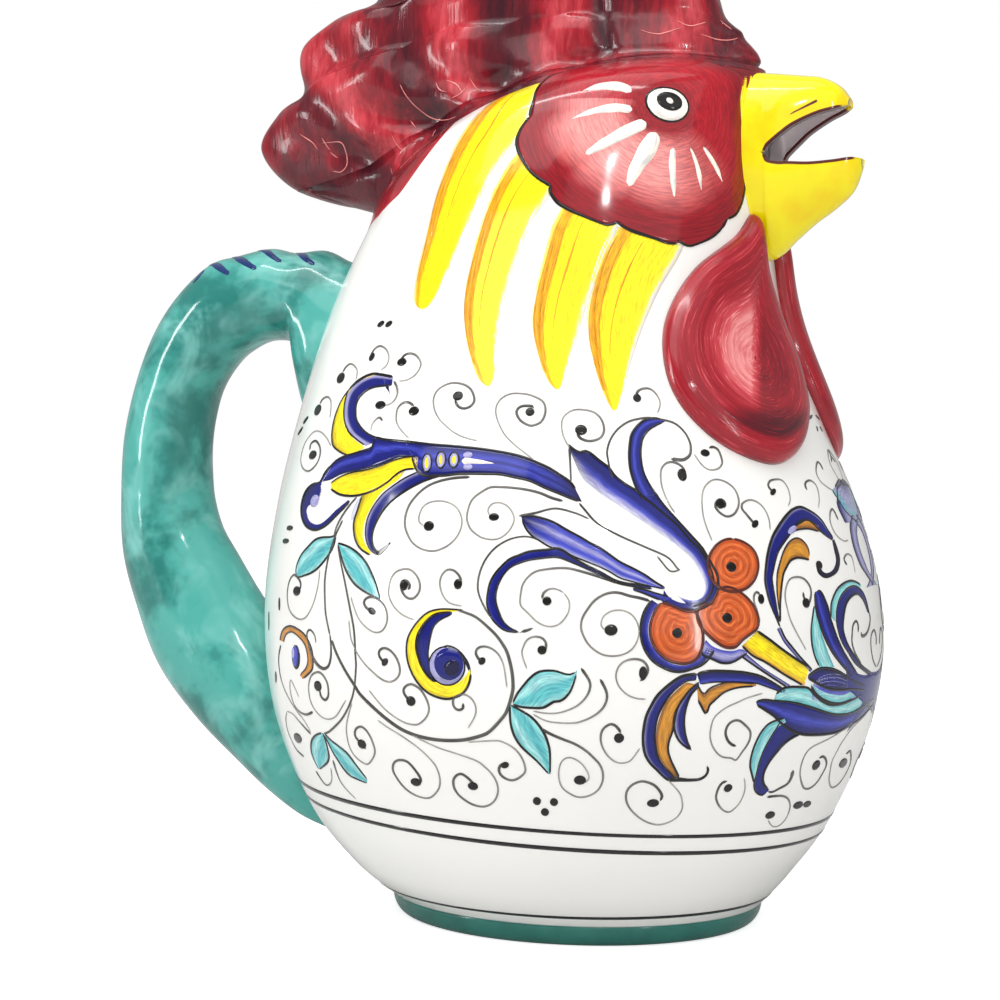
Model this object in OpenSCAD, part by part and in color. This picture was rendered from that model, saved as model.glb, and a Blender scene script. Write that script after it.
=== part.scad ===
// Rooster pitcher in glazed earthenware.
// The rooster's beak points along +X, the handle along -X, and the jug stands on z = 0.
// Every soft shape is a stack of rings. A ring joins a back point and a front point of
// the side outline, bulges sideways to its half width and may arch up at its two sides.

/* [Body] */
// Length of the belly, from its back to its front
body_l = 155; // [130:1:185]
// Width of the belly
body_w = 150; // [125:1:180]
// Height from the top of the foot to the front of the crown
body_h = 204; // [170:1:240]
// Thickness of the thrown wall
wall = 5.5; // [4:0.5:8]

/* [Foot] */
// Height of the foot
foot_h = 5; // [3:0.5:9]
// Radius of the foot where it meets the body
foot_r = 46; // [38:0.5:52]
// Radius of the flat ring that rests on the table
rest_r = 42.5; // [34:0.5:46]

/* [Comb] */
// Overhang of the back lobe behind the crown
comb_back = 35; // [20:0.5:48]
// Lean of the comb's front edge, back from the crown
comb_lean = 14; // [6:0.5:20]
// Height of the comb above the front of the crown, without its top lobes
comb_h = 21; // [16:0.5:28]
// Rise of the three top lobes on each side
lobe_h = 24; // [12:0.5:32]
// Width of the comb at its foot
comb_w = 44; // [36:0.5:50]
// Thickness of the comb's rim round the filling slot
comb_wall = 6.5; // [4:0.5:7.5]
// Length of the filling slot at the crown
slot_l = 60; // [40:1:70]
// Width of the filling slot at the crown
slot_w = 20; // [14:0.5:24]

/* [Beak] */
// Reach of the beak in front of the face
beak_l = 24; // [16:0.5:34]
// Width of the beak at the face
beak_w = 27; // [20:0.5:32]
// Drop of the lower beak from the mouth to the chin
chin_h = 27; // [20:0.5:32]
// Thickness of the clay round the pouring channel
beak_wall = 4; // [3:0.5:6]

/* [Handle] */
// Reach of the handle behind the belly
handle_reach = 52; // [40:1:66]
// Width of the handle across the grip
handle_w = 25; // [18:0.5:32]

/* [Wattles] */
// Thickness of a wattle at its rounded rim
wattle_t = 5.5; // [3:0.5:8]

/* [Fit] */
// Film of slip and glaze between two luted pieces
joint_gap = 0.4; // [0.3:0.05:0.6]

/* [Hidden] */

glaze_white = "#f4f1ea";
glaze_green = "#3fa397";
foot_green = "#1f5a50";
comb_red = "#a3202f";
beak_yellow = "#f7d500";

// Fineness of the rings, as counts
body_sides = 60;
comb_sides = 90;
handle_sides = 28;
foot_sides = 120;
beak_arcs = 16;
wattle_sides = 28;
row_step = 1 / 2;
search_steps = 16;
// Small turn and share that measure a slope
probe = 1 / 1000;

// Rings of the body as shares: back x and front x of body_l, back z and front z of
// body_h above the foot, half width of body_w, arch of body_h
body_shares = [
    [-0.297, 0.000, 0.297, 0.000, 0.307, 0.000],
    [-0.365, 0.039, 0.342, 0.039, 0.363, 0.000],
    [-0.439, 0.108, 0.403, 0.108, 0.430, 0.000],
    [-0.500, 0.221, 0.461, 0.221, 0.487, 0.000],
    [-0.519, 0.343, 0.477, 0.343, 0.500, 0.000],
    [-0.503, 0.466, 0.439, 0.466, 0.473, 0.000],
    [-0.471, 0.588, 0.368, 0.588, 0.413, 0.000],
    [-0.435, 0.691, 0.306, 0.706, 0.353, 0.000],
    [-0.400, 0.760, 0.281, 0.824, 0.307, 0.005],
    [-0.374, 0.799, 0.277, 0.912, 0.280, 0.020],
    [-0.368, 0.821, 0.277, 0.975, 0.240, 0.044],
    [-0.371, 0.831, 0.271, 1.000, 0.160, 0.059]];
// The two rows that leave the pouring hole between them, and its half width in sides
spout_low_share = 8.5;
spout_high_share = 9.5;
spout_sides = 2;
// The inner wall starts above the solid floor and ends under the crown
floor_share = 0.5;
inner_top_share = 10;

// Rings of the comb as shares: back point as overhang of comb_back and rise from the
// crown's back to the rim, front point as lean of comb_lean and rise of comb_h, half width
// of comb_w, arch of the crown's own arch
comb_shares = [
    [0.30, 0.03, 0.04, 0.10, 0.41, 1.06],
    [0.74, 0.12, 0.07, 0.19, 0.40, 1.06],
    [1.00, 0.30, 0.18, 0.29, 0.39, 1.00],
    [0.88, 0.46, 0.29, 0.38, 0.37, 0.90],
    [0.68, 0.57, 0.36, 0.48, 0.35, 0.75],
    [0.64, 0.78, 0.50, 0.57, 0.35, 0.58],
    [0.39, 0.90, 0.64, 0.67, 0.36, 0.42],
    [0.10, 0.93, 0.79, 0.86, 0.37, 0.25],
    [0.07, 1.00, 1.00, 1.00, 0.37, 0.00]];
// Grooves between lobes: where each starts at the crown and ends, both as shares of the
// half length from the middle, and the share of the comb's rings that it climbs
groove_shares = [
    [-0.58, -1.00, 0.55],
    [-0.34, -1.00, 0.95],
    [-0.06, -0.33, 1.00],
    [0.28, 0.33, 1.00]];
groove_depth_share = 0.20;
groove_width_share = 0.12;
// Share of the rings over which the top lobes rise, and how far they lean back
lobe_start_share = 0.8;
lobe_lean_share = 0.17;
// Where the comb's foot stands between the crown's edge and the slot
comb_seat_share = 0.12;

// Handle rings as shares: how far the outer and the inner point stand off the body's
// back, of handle_reach, with their heights, of body_h, and the half width of handle_w
handle_shares = [
    [-0.04, 0.765, -0.04, 0.565, 0.52],
    [0.10, 0.772, 0.03, 0.571, 0.56],
    [0.26, 0.786, 0.13, 0.620, 0.53],
    [0.41, 0.783, 0.19, 0.663, 0.50],
    [0.56, 0.788, 0.36, 0.671, 0.48],
    [0.72, 0.779, 0.49, 0.654, 0.48],
    [0.84, 0.769, 0.56, 0.630, 0.48],
    [0.94, 0.735, 0.60, 0.598, 0.48],
    [1.01, 0.686, 0.60, 0.561, 0.48],
    [1.04, 0.627, 0.58, 0.527, 0.48],
    [1.04, 0.554, 0.55, 0.495, 0.50],
    [1.00, 0.480, 0.51, 0.463, 0.50],
    [0.94, 0.397, 0.44, 0.429, 0.52],
    [0.84, 0.319, 0.34, 0.397, 0.54],
    [0.74, 0.245, 0.24, 0.363, 0.56],
    [0.59, 0.179, 0.12, 0.319, 0.56],
    [0.45, 0.130, -0.02, 0.250, 0.52],
    [0.34, 0.091, -0.06, 0.176, 0.44],
    [0.25, 0.064, -0.06, 0.113, 0.32],
    [0.12, 0.047, -0.04, 0.069, 0.16]];

// Height of the mouth, of body_h
mouth_share = 0.905;
// Upper beak as shares: reach of beak_l, top and edge of the height from mouth to crown,
// half width of beak_w
upper_shares = [
    [-0.10, 0.96, 0.01, 0.50],
    [0.21, 0.93, 0.02, 0.46],
    [0.42, 0.90, 0.24, 0.40],
    [0.63, 0.87, 0.38, 0.32],
    [0.80, 0.77, 0.46, 0.23],
    [0.90, 0.62, 0.51, 0.11]];
// Lower beak as shares: reach of beak_l, edge and keel of chin_h below the mouth, half
// width of beak_w
lower_shares = [
    [-0.10, 0.01, 1.00, 0.50],
    [0.21, 0.03, 0.98, 0.45],
    [0.38, 0.13, 0.83, 0.39],
    [0.58, 0.14, 0.67, 0.34],
    [0.79, 0.12, 0.53, 0.28],
    [0.96, 0.09, 0.38, 0.20],
    [1.04, 0.09, 0.19, 0.08]];
// Depth of the two channels, of the height of their own half of the beak
palate_share = 0.36;
trough_share = 0.22;
// How square the upper half and how keeled the lower half is
upper_power = 0.75;
lower_power = 1.25;

// Outline of the right wattle on the body's skin, as degrees from the front and ring
wattle_shares = [
    [-12, 8.00], [-10.5, 7.55], [-7, 7.05], [-5, 6.55], [-8, 6.10], [-14, 5.78], [-22, 5.58],
    [-30, 5.54], [-40, 5.72], [-47, 6.08], [-48.5, 6.50], [-45.5, 6.97], [-36.5, 7.42],
    [-21, 7.76]];
wattle_middle_share = [-25, 6.50];
wattle_hollow_share = 0.40;
wattle_rows_share = [0.30, 0.55, 0.75, 0.90, 0.97];
wattle_base_rows_share = [1, 0.8, 0.55, 0.3];

// A smooth curve through the rows of a table, at place t counted in rows
function spline(p, t) =
    let (n = len(p) - 1, i = max(0, min(floor(t), n - 1)), s = t - i,
         a = p[max(i - 1, 0)], b = p[i], c = p[i + 1], d = p[min(i + 2, n)])
    b + s / 2 * (c - a + s * (2 * a - 5 * b + 4 * c - d + s * (3 * b - a - 3 * c + d)));

// A point of a ring at angle u, 0 at the beak and 180 at the handle
function ring_point(r, u) =
    let (back = [r[0], r[1]], front = [r[2], r[3]], run = front - back,
         up = [-run[1], run[0]] / norm(run),
         p = (back + front) / 2 + run / 2 * cos(u) + up * r[5] * sin(u) * sin(u))
    [p[0], r[4] * sin(u), p[1]];

// The same ring lifted by d, square to the line from its back to its front
function lifted(r, d) =
    let (run = [r[2] - r[0], r[3] - r[1]], up = [-run[1], run[0]] / norm(run) * d)
    [r[0] + up[0], r[1] + up[1], r[2] + up[0], r[3] + up[1], r[4], r[5]];

function circle_of(r, sides) = [for (i = [0:sides - 1]) ring_point(r, i * 360 / sides)];
function mix(a, b, f) = a + (b - a) * f;
function power(x, n) = sign(x) * pow(abs(x), n);

// Body rings in millimetres
body_rings = [for (s = body_shares)
    [s[0] * body_l, foot_h + s[1] * body_h, s[2] * body_l, foot_h + s[3] * body_h,
     s[4] * body_w, s[5] * body_h]];
last_body = len(body_rings) - 1;
crown = body_rings[last_body];
crown_x = crown[2];
crown_z = crown[3];

// The slot at the crown: its back and front points lie on the crown's saddle
slot_front_share = 0.20;
slot_back_x = crown_x - slot_front_share * (crown_x - crown[0]) - slot_l;
slot_ring = [slot_back_x, crown_z - (crown_z - crown[1]) * 0.64,
             slot_back_x + slot_l, crown_z - (crown_z - crown[1]) * 0.02,
             slot_w / 2, crown[5] * 0.75];

// The ring inside ring v, one wall nearer the middle
function inner_ring(v) =
    let (r = spline(body_rings, v), q = spline(body_rings, v + probe),
         o = spline(body_rings, v - probe),
         back_run = [q[0] - o[0], q[1] - o[1]], front_run = [q[2] - o[2], q[3] - o[3]],
         back_in = [back_run[1], -back_run[0]] / norm(back_run) * wall,
         front_in = [-front_run[1], front_run[0]] / norm(front_run) * wall)
    [r[0] + back_in[0], r[1] + back_in[1], r[2] + front_in[0], r[3] + front_in[1],
     r[4] - wall, r[5]];

// The body's skin at a given y and z: side 1 is the face and side -1 the back
function skin_point(y, v, side) =
    let (r = spline(body_rings, v), u = asin(max(-1, min(1, y / r[4]))))
    ring_point(r, side > 0 ? u : 180 - u);
function skin_place(y, z, side, low, high, steps) =
    steps == 0 ? (low + high) / 2 :
    let (v = (low + high) / 2)
    skin_point(y, v, side)[2] < z ? skin_place(y, z, side, v, high, steps - 1) :
    skin_place(y, z, side, low, v, steps - 1);
function skin_x(y, z, side) =
    skin_point(y, skin_place(y, z, side, 0, last_body, search_steps), side)[0];

// Two triangles between neighbouring rows of points
function quad(a, b, c, d) = [[a, b, c], [a, c, d]];
function joined(lists) = [for (l = lists) for (e = l) e];
// Faces of rows that close round, from row a to row b of n points each
function band(a, b, n) = joined([for (i = [0:n - 1]) let (k = (i + 1) % n)
    quad(a * n + i, b * n + i, b * n + k, a * n + k)]);
function cap_first(n, middle) = [for (i = [0:n - 1]) [middle, i, (i + 1) % n]];
function cap_last(row, n, middle) =
    [for (i = [0:n - 1]) [middle, row * n + (i + 1) % n, row * n + i]];

// A solid from rows that close round, shut by a middle point at each end
module stack(rows, first_middle, last_middle) {
    n = len(rows[0]);
    m = len(rows);
    polyhedron(points = concat(joined(rows), [first_middle, last_middle]),
        faces = concat(cap_first(n, m * n), joined([for (j = [0:m - 2]) band(j, j + 1, n)]),
                       cap_last(m - 1, n, m * n + 1)), convexity = 8);
}

// A hollow ring-shaped solid from rows that close round and also close on themselves
module torus_of(rows) {
    n = len(rows[0]);
    m = len(rows);
    polyhedron(points = joined(rows),
        faces = joined([for (j = [0:m - 1]) band(j, (j + 1) % m, n)]), convexity = 8);
}

// Belly, neck and head shell: outer skin, crown, slot, inner skin, with the pouring hole
module body() {
    n = body_sides;
    outer_v = [for (v = [0:row_step:last_body]) v];
    inner_v = [for (v = [inner_top_share:-row_step:floor_share]) v];
    crown_rings = [for (f = [1 / 2, 1]) mix(crown, slot_ring, f)];
    rings = concat([for (v = outer_v) spline(body_rings, v)], crown_rings,
                   [for (r = [crown_rings[1], crown_rings[0]]) lifted(r, -wall)],
                   [for (v = inner_v) inner_ring(v)]);
    m = len(rings);
    points = joined([for (r = rings) circle_of(r, n)]);
    floor_row = m - 1;
    low_out = spout_low_share / row_step;
    high_out = spout_high_share / row_step;
    first_in = len(outer_v) + 4;
    low_in = first_in + (inner_top_share - spout_low_share) / row_step;
    high_in = first_in + (inner_top_share - spout_high_share) / row_step;
    is_hole = function (j, i)
        ((j >= low_out && j < high_out) || (j >= high_in && j < low_in))
        && (i < spout_sides || i >= n - spout_sides);
    at = function (j, i) j * n + (i + n) % n;
    walls = joined([for (j = [0:m - 2]) for (i = [0:n - 1]) if (!is_hole(j, i))
        quad(at(j, i), at(j + 1, i), at(j + 1, i + 1), at(j, i + 1))]);
    span = high_out - low_out;
    sill = joined([for (i = [-spout_sides:spout_sides - 1])
        quad(at(low_out, i), at(low_in, i), at(low_in, i + 1), at(low_out, i + 1))]);
    lintel = joined([for (i = [-spout_sides:spout_sides - 1])
        quad(at(high_out, i + 1), at(high_in, i + 1), at(high_in, i), at(high_out, i))]);
    left_jamb = joined([for (k = [0:span - 1])
        quad(at(low_out + k, spout_sides), at(low_in - k, spout_sides),
             at(low_in - k - 1, spout_sides), at(low_out + k + 1, spout_sides))]);
    right_jamb = joined([for (k = [0:span - 1])
        quad(at(low_out + k + 1, -spout_sides), at(low_in - k - 1, -spout_sides),
             at(low_in - k, -spout_sides), at(low_out + k, -spout_sides))]);
    floor_z = points[floor_row * n][2];
    color(glaze_white)
    polyhedron(points = concat(points, [[0, 0, foot_h], [0, 0, floor_z]]),
        faces = concat(cap_first(n, m * n), walls, sill, lintel, left_jamb, right_jamb,
                       cap_last(floor_row, n, m * n + 1)), convexity = 10);
}

// Turned disc under the body, with a flat rest and a rounded edge
module foot() {
    edge_steps = 8;
    edge = [for (k = [0:edge_steps]) let (a = k * 90 / edge_steps)
        [rest_r + (foot_r - rest_r) * sin(a), foot_h * (1 - cos(a))]];
    color(foot_green)
    rotate_extrude($fn = foot_sides)
        polygon(concat([[0, 0]], edge, [[0, foot_h]]));
}

// A point of the handle's ring r at angle u, kept off the body's back
function handle_point(r, u) =
    let (outer = [skin_x(0, r[1], -1) - r[0], r[1]], inner = [skin_x(0, r[3], -1) - r[2], r[3]],
         p = (outer + inner) / 2 + (outer - inner) / 2 * cos(u), y = r[4] * sin(u))
    [min(p[0], skin_x(y, p[1], -1) - joint_gap), y, p[1]];

// Pulled clay handle: a thick loop from the nape down to the lower belly
module handle() {
    rings = [for (s = handle_shares)
        [s[0] * handle_reach, foot_h + s[1] * body_h, s[2] * handle_reach,
         foot_h + s[3] * body_h, s[4] * handle_w]];
    last = len(rings) - 1;
    places = [for (v = [0:row_step:last]) v];
    root_shrinks = [0.35, 0.7];
    rows = [for (v = places) let (r = spline(rings, v))
        [for (i = [0:handle_sides - 1]) handle_point(r, i * 360 / handle_sides)]];
    root = rows[0];
    middle_z = (rings[0][1] + rings[0][3]) / 2;
    root_rows = [for (f = root_shrinks) [for (p = root)
        let (y = p[1] * f, z = mix(middle_z, p[2], f)) [skin_x(y, z, -1) - joint_gap, y, z]]];
    tail = rings[last];
    tail_z = (tail[1] + tail[3]) / 2;
    color(glaze_green)
    stack(concat(root_rows, rows), [skin_x(0, middle_z, -1) - joint_gap, 0, middle_z],
          handle_point([mix(tail[0], tail[2], 0.5), tail_z, mix(tail[0], tail[2], 0.5),
                        tail_z, 0], 0));
}

// Comb rings in millimetres
rim_z = crown_z + comb_h;
comb_rings = [for (s = comb_shares)
    [crown[0] - s[0] * comb_back, mix(crown[1], rim_z, s[1]), crown_x - s[2] * comb_lean,
     crown_z + s[3] * comb_h, s[4] * comb_w, s[5] * crown[5]]];
last_comb = len(comb_rings) - 1;

// Height of the top lobes at place c from back -1 to front 1
function lobe_rise(c) = 0.6 * pow(abs(sin(270 * (c + 1))), 0.5) + 0.4 * (1 - pow(c, 6));
// How deep the grooves cut at place c of ring v
function groove(c, v) = sum_of([for (g = groove_shares)
    let (f = v / last_comb / g[2], at = mix(g[0], g[1], min(f, 1)))
    f > 1.1 ? 0 : exp(-pow((c - at) / groove_width_share, 2))]);
function sum_of(a, i = 0) = i == len(a) ? 0 : a[i] + sum_of(a, i + 1);

// A point of the comb's ring r at angle u, with its groove and its share of the lobes
function comb_point(r, u, cut, lift) =
    let (p = ring_point(r, u), rise = lift * lobe_h * lobe_rise(cos(u)))
    [p[0] - rise * lobe_lean_share, p[1] * (1 - cut * groove_depth_share), p[2] + rise];

// Hollow comb: two joined back lobes and three lobes a side round the filling slot
module comb() {
    n = comb_sides;
    angles = [for (i = [0:n - 1]) i * 360 / n];
    seat = lifted(mix(crown, slot_ring, comb_seat_share), joint_gap);
    all_rings = concat([seat], comb_rings);
    last = len(all_rings) - 1;
    places = [for (v = [0:row_step:last]) v];
    lift_at = function (v) pow(max(0, (v / last - lobe_start_share) / (1 - lobe_start_share)), 1.5);
    outer_rows = [for (v = places) let (r = spline(all_rings, v))
        [for (u = angles) comb_point(r, u, groove(cos(u), v), lift_at(v))]];
    rim = all_rings[last];
    inset = function (r, d) [r[0] + d, r[1], r[2] - d, r[3], r[4] - d, r[5]];
    crest_up = comb_wall * 0.4;
    rim_rings = [[lifted(inset(rim, comb_wall * 0.15), crest_up * 0.7), 0.8],
                 [lifted(inset(rim, comb_wall * 0.5), crest_up), 0.4],
                 [lifted(inset(rim, comb_wall * 0.85), crest_up * 0.7), 0.1],
                 [inset(rim, comb_wall), 0]];
    rim_rows = [for (r = rim_rings)
        [for (u = angles) comb_point(r[0], u, r[1] * groove(cos(u), last), 1)]];
    slot_top = rim_rings[3][0];
    slot_foot = lifted(slot_ring, joint_gap);
    inner_rows = [for (f = [0.25, 0.5, 0.75, 1]) let (r = mix(slot_top, slot_foot, f))
        [for (u = angles) comb_point(r, u, 0, pow(1 - f, 2))]];
    under = circle_of(mix(seat, slot_foot, 0.5), n);
    color(comb_red)
    torus_of(concat(outer_rows, rim_rows, inner_rows, [under]));
}

mouth_z = foot_h + mouth_share * body_h;
face_x = crown_x;

// A point just off the face at a given y and z
function skin_spot(y, z) = [skin_x(y, z, 1) + joint_gap, y, z];

// One half of the beak: an arch of points outside and a channel inside, along its length
module beak_half(table, side, half_h, channel_share, bend, colour) {
    rings = [for (s = table)
        [face_x + s[0] * beak_l, mouth_z + side * half_h * (side > 0 ? s[1] : s[2]),
         mouth_z + side * half_h * (side > 0 ? s[2] : s[1]) + side * joint_gap / 2,
         s[3] * beak_w]];
    last = len(rings) - 1;
    angles = [for (i = [0:beak_arcs]) i * 180 / beak_arcs];
    channel_h = channel_share * half_h;
    rows = [for (v = [0:row_step:last])
        let (r = spline(rings, v), far = r[1] - r[2],
             inner_w = max(r[3] - beak_wall, r[3] * 0.3),
             inner_h = min(channel_h, abs(far) * 0.6) * side)
        concat(
            [for (a = angles) let (y = r[3] * power(cos(a), min(bend, 1)),
                                   z = r[2] + far * power(sin(a), bend))
                [max(r[0], skin_spot(y, z)[0]), y, z]],
            [for (k = [beak_arcs:-1:0]) let (a = angles[k], y = inner_w * cos(a),
                                             z = r[2] + inner_h * sin(a))
                [max(r[0], skin_spot(y, z)[0]), y, z]])];
    n = len(rows[0]);
    m = len(rows);
    flip = function (fs) [for (f = fs) [f[2], f[1], f[0]]];
    // A middle arc lets the root's face follow the skin
    root_arc = [for (i = [0:beak_arcs]) let (a = rows[0][i], b = rows[0][n - 1 - i])
        skin_spot((a[1] + b[1]) / 2, (a[2] + b[2]) / 2)];
    strip = function (a, b, step_b, turn) joined([for (i = [0:beak_arcs - 1])
        let (c = b + i * step_b, d = c + step_b)
        turn ? quad(a + i, a + i + 1, d, c) : quad(c, d, a + i + 1, a + i)]);
    turned = side > 0;
    corners = [[0, m * n, n - 1], [beak_arcs + 1, m * n + beak_arcs, beak_arcs]];
    root_faces = concat(strip(0, m * n, 1, turned), strip(m * n, n - 1, -1, turned),
                        turned ? corners : flip(corners));
    tip_faces = strip((m - 1) * n, m * n - 1, -1, !turned);
    side_faces = joined([for (j = [0:m - 2]) band(j, j + 1, n)]);
    color(colour)
    polyhedron(points = concat(joined(rows), root_arc),
        faces = concat(turned ? side_faces : flip(side_faces), root_faces, tip_faces),
        convexity = 6);
}

module upper_beak()
    beak_half(upper_shares, 1, crown_z - mouth_z, palate_share, upper_power, beak_yellow);
module lower_beak()
    beak_half(lower_shares, -1, chin_h, trough_share, lower_power, beak_yellow);

// The body's skin at angle u of ring v, raised by d along its own normal
function skin_raised(u, v, d) =
    let (p = ring_point(spline(body_rings, v), u),
         du = ring_point(spline(body_rings, v), u + probe) - p,
         dv = ring_point(spline(body_rings, v + probe), u) - p,
         nrm = cross(du, dv))
    p + nrm / norm(nrm) * d;

// A teardrop pad laid on the skin, thick at its rounded rim and hollow in its middle
module wattle() {
    count = len(wattle_shares);
    loop = concat(wattle_shares, wattle_shares, wattle_shares);
    outline = [for (i = [0:wattle_sides - 1]) spline(loop, count + i * count / wattle_sides)];
    height = function (t) joint_gap + wattle_t * sqrt(max(0, 1 - pow(t, 6)))
        - wattle_t * wattle_hollow_share * exp(-pow(t / 0.55, 2));
    top_rows = [for (t = wattle_rows_share) [for (o = outline)
        let (q = mix(wattle_middle_share, o, t)) skin_raised(q[0], q[1], height(t))]];
    base_rows = [for (t = wattle_base_rows_share) [for (o = outline)
        let (q = mix(wattle_middle_share, o, t)) skin_raised(q[0], q[1], joint_gap)]];
    c = wattle_middle_share;
    color(comb_red)
    stack(concat(top_rows, base_rows), skin_raised(c[0], c[1], height(0)),
          skin_raised(c[0], c[1], joint_gap));
}

module wattle_right() wattle();
module wattle_left() mirror([0, 1, 0]) wattle();

body();
foot();
handle();
comb();
upper_beak();
lower_beak();
wattle_right();
wattle_left();
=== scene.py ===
"""A hand-painted rooster pitcher: white-glazed body, red comb and wattles, yellow beak and
green handle."""

import bpy
import numpy as np
from mathutils import Matrix, Vector


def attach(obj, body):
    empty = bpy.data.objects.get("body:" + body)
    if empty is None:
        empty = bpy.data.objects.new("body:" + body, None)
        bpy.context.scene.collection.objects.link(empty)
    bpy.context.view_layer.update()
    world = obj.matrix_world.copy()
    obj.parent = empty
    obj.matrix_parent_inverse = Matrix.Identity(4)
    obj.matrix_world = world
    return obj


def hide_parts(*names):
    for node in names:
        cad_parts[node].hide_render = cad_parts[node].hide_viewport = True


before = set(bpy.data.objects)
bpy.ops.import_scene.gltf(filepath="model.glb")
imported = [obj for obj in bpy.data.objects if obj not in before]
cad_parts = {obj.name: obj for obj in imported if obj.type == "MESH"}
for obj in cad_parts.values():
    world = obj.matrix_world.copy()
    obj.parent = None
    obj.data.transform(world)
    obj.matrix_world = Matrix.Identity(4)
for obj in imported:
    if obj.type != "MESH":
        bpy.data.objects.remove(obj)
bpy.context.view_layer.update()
MM = 0.001

# The photographer's camera: eye level with the belly, turned a little towards the beak,
# and rolled by a degree and a half, so that the pitcher leans to the right in the picture.
# Its place and its aim are in millimetres.
FRAME_PX = 1000
FOCAL_PX = 2473.6
SENSOR_MM = 36.0
EYE = np.array([190.3, -588.1, 117.8])
AIM = np.array([-23.3, 0.0, 102.3])
ROLL = 0.0258


def camera_axes():
    """Sight, right and up of the camera: sight runs from eye to aim, and right and up are
    turned about it by the roll."""
    sight = (AIM - EYE) / np.linalg.norm(AIM - EYE)
    right = np.cross(sight, [0.0, 0.0, 1.0])
    right /= np.linalg.norm(right)
    up = np.cross(right, sight)
    cosine, sine = np.cos(ROLL), np.sin(ROLL)
    return sight, right * cosine + up * sine, up * cosine - right * sine


SIGHT, RIGHT, UP = camera_axes()
camera = bpy.data.objects.new("camera", bpy.data.cameras.new("camera"))
camera.data.sensor_width = SENSOR_MM
camera.data.lens = SENSOR_MM * FOCAL_PX / FRAME_PX
camera.data.clip_start, camera.data.clip_end = 0.01, 50.0
turn = Matrix([[RIGHT[k], UP[k], -SIGHT[k]] for k in range(3)])
camera.matrix_world = Matrix.Translation(Vector(EYE * MM)) @ turn.to_4x4()
bpy.context.scene.collection.objects.link(camera)
bpy.context.scene.camera = camera

# The body: one thrown shell of white tin-glazed earthenware, from the foot up to the crown,
# with the filling slot cut in its crown and the pouring hole behind the beak.
WALL = 5.5


def fired(red, green, blue):
    """A fired colour as the eye reads it, 0 to 255, made into the light it gives back."""
    return tuple(((c / 255 + 0.055) / 1.055) ** 2.4 for c in (red, green, blue))


GLAZE_WHITE = fired(242, 241, 237)
# back x, back z, front x, front z, half width, arch
BODY_RINGS = np.array([
    [-46.0, 5.0, 46.0, 5.0, 46.0, 0.0], [-56.6, 13.0, 53.0, 13.0, 54.5, 0.0],
    [-68.0, 27.0, 62.5, 27.0, 64.5, 0.0], [-77.5, 50.1, 71.5, 50.1, 73.0, 0.0],
    [-80.4, 75.0, 73.9, 75.0, 75.0, 0.0], [-78.0, 100.1, 68.0, 100.1, 71.0, 0.0],
    [-73.0, 125.0, 57.0, 125.0, 62.0, 0.0], [-67.4, 146.0, 47.4, 149.0, 53.0, 0.0],
    [-62.0, 160.0, 43.6, 173.1, 46.0, 1.0], [-58.0, 168.0, 42.9, 191.0, 42.0, 4.1],
    [-57.0, 172.5, 42.9, 203.9, 36.0, 9.0], [-57.5, 174.5, 42.0, 209.0, 24.0, 12.0]])
SLOT_RING = np.array([-37.9, 186.9, 22.1, 208.3, 10.0, 9.0])
TOP = len(BODY_RINGS) - 1


def through(rows, t):
    """A smooth curve through the rows of a table at place t: each stretch is the cubic whose
    slopes at its ends run parallel to the line between the neighbouring rows."""
    rows, t = np.asarray(rows, float), np.clip(np.asarray(t, float), 0, len(rows) - 1)
    i = np.minimum(t.astype(int), len(rows) - 2)
    s = (t - i)[..., None]
    a, b, c = rows[np.maximum(i - 1, 0)], rows[i], rows[i + 1]
    d = rows[np.minimum(i + 2, len(rows) - 1)]
    return b + s / 2 * (c - a + s * (2 * a - 5 * b + 4 * c - d + s * (3 * b - a - 3 * c + d)))


def ring_point(ring, u):
    """A point of a ring at turn u: half its run times cos u from the middle, its half width
    times sin u sideways, and its arch times sin u squared along the ring's own upright."""
    ring = np.asarray(ring, float)
    back, front = ring[..., 0:2], ring[..., 2:4]
    run = front - back
    upright = np.stack([-run[..., 1], run[..., 0]], -1)
    upright /= np.linalg.norm(run, axis=-1, keepdims=True)
    cu, su = np.cos(u)[..., None], np.sin(u)
    p = (back + front) / 2 + run / 2 * cu + upright * (ring[..., 5] * su ** 2)[..., None]
    return np.stack([p[..., 0], ring[..., 4] * su, p[..., 1]], -1)


def skin(u, v):
    """The outer glaze: a point of the body at turn u, 0 at the beak, and ring v."""
    return ring_point(through(BODY_RINGS, v), u)


def unit(a):
    """Each vector of an array, divided by its own length."""
    return a / np.maximum(np.linalg.norm(a, axis=-1, keepdims=True), 1e-12)


def outward(surface, u, v, step=1e-3):
    """The outward normal of a surface of u and v: the cross product of its two slopes."""
    slope_u = surface(u + step, v) - surface(u - step, v)
    slope_v = surface(u, v + step) - surface(u, v - step)
    return unit(np.cross(slope_u, slope_v))


def lifted(ring, by):
    """A ring moved by a distance along its own upright."""
    run = ring[2:4] - ring[0:2]
    upright = np.array([-run[1], run[0]]) / np.linalg.norm(run) * by
    return ring + np.array([*upright, *upright, 0, 0])


def inner_rings(v):
    """The rings v moved inwards by one wall, square to the side outline."""
    r, above, below = (through(BODY_RINGS, v + d) for d in (0.0, 1e-3, -1e-3))
    slope = unit((above - below)[:, 0:2]), unit((above - below)[:, 2:4])
    out = r.copy()
    out[:, 0] += slope[0][:, 1] * WALL
    out[:, 1] -= slope[0][:, 0] * WALL
    out[:, 2] -= slope[1][:, 1] * WALL
    out[:, 3] += slope[1][:, 0] * WALL
    out[:, 4] -= WALL
    return out


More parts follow.
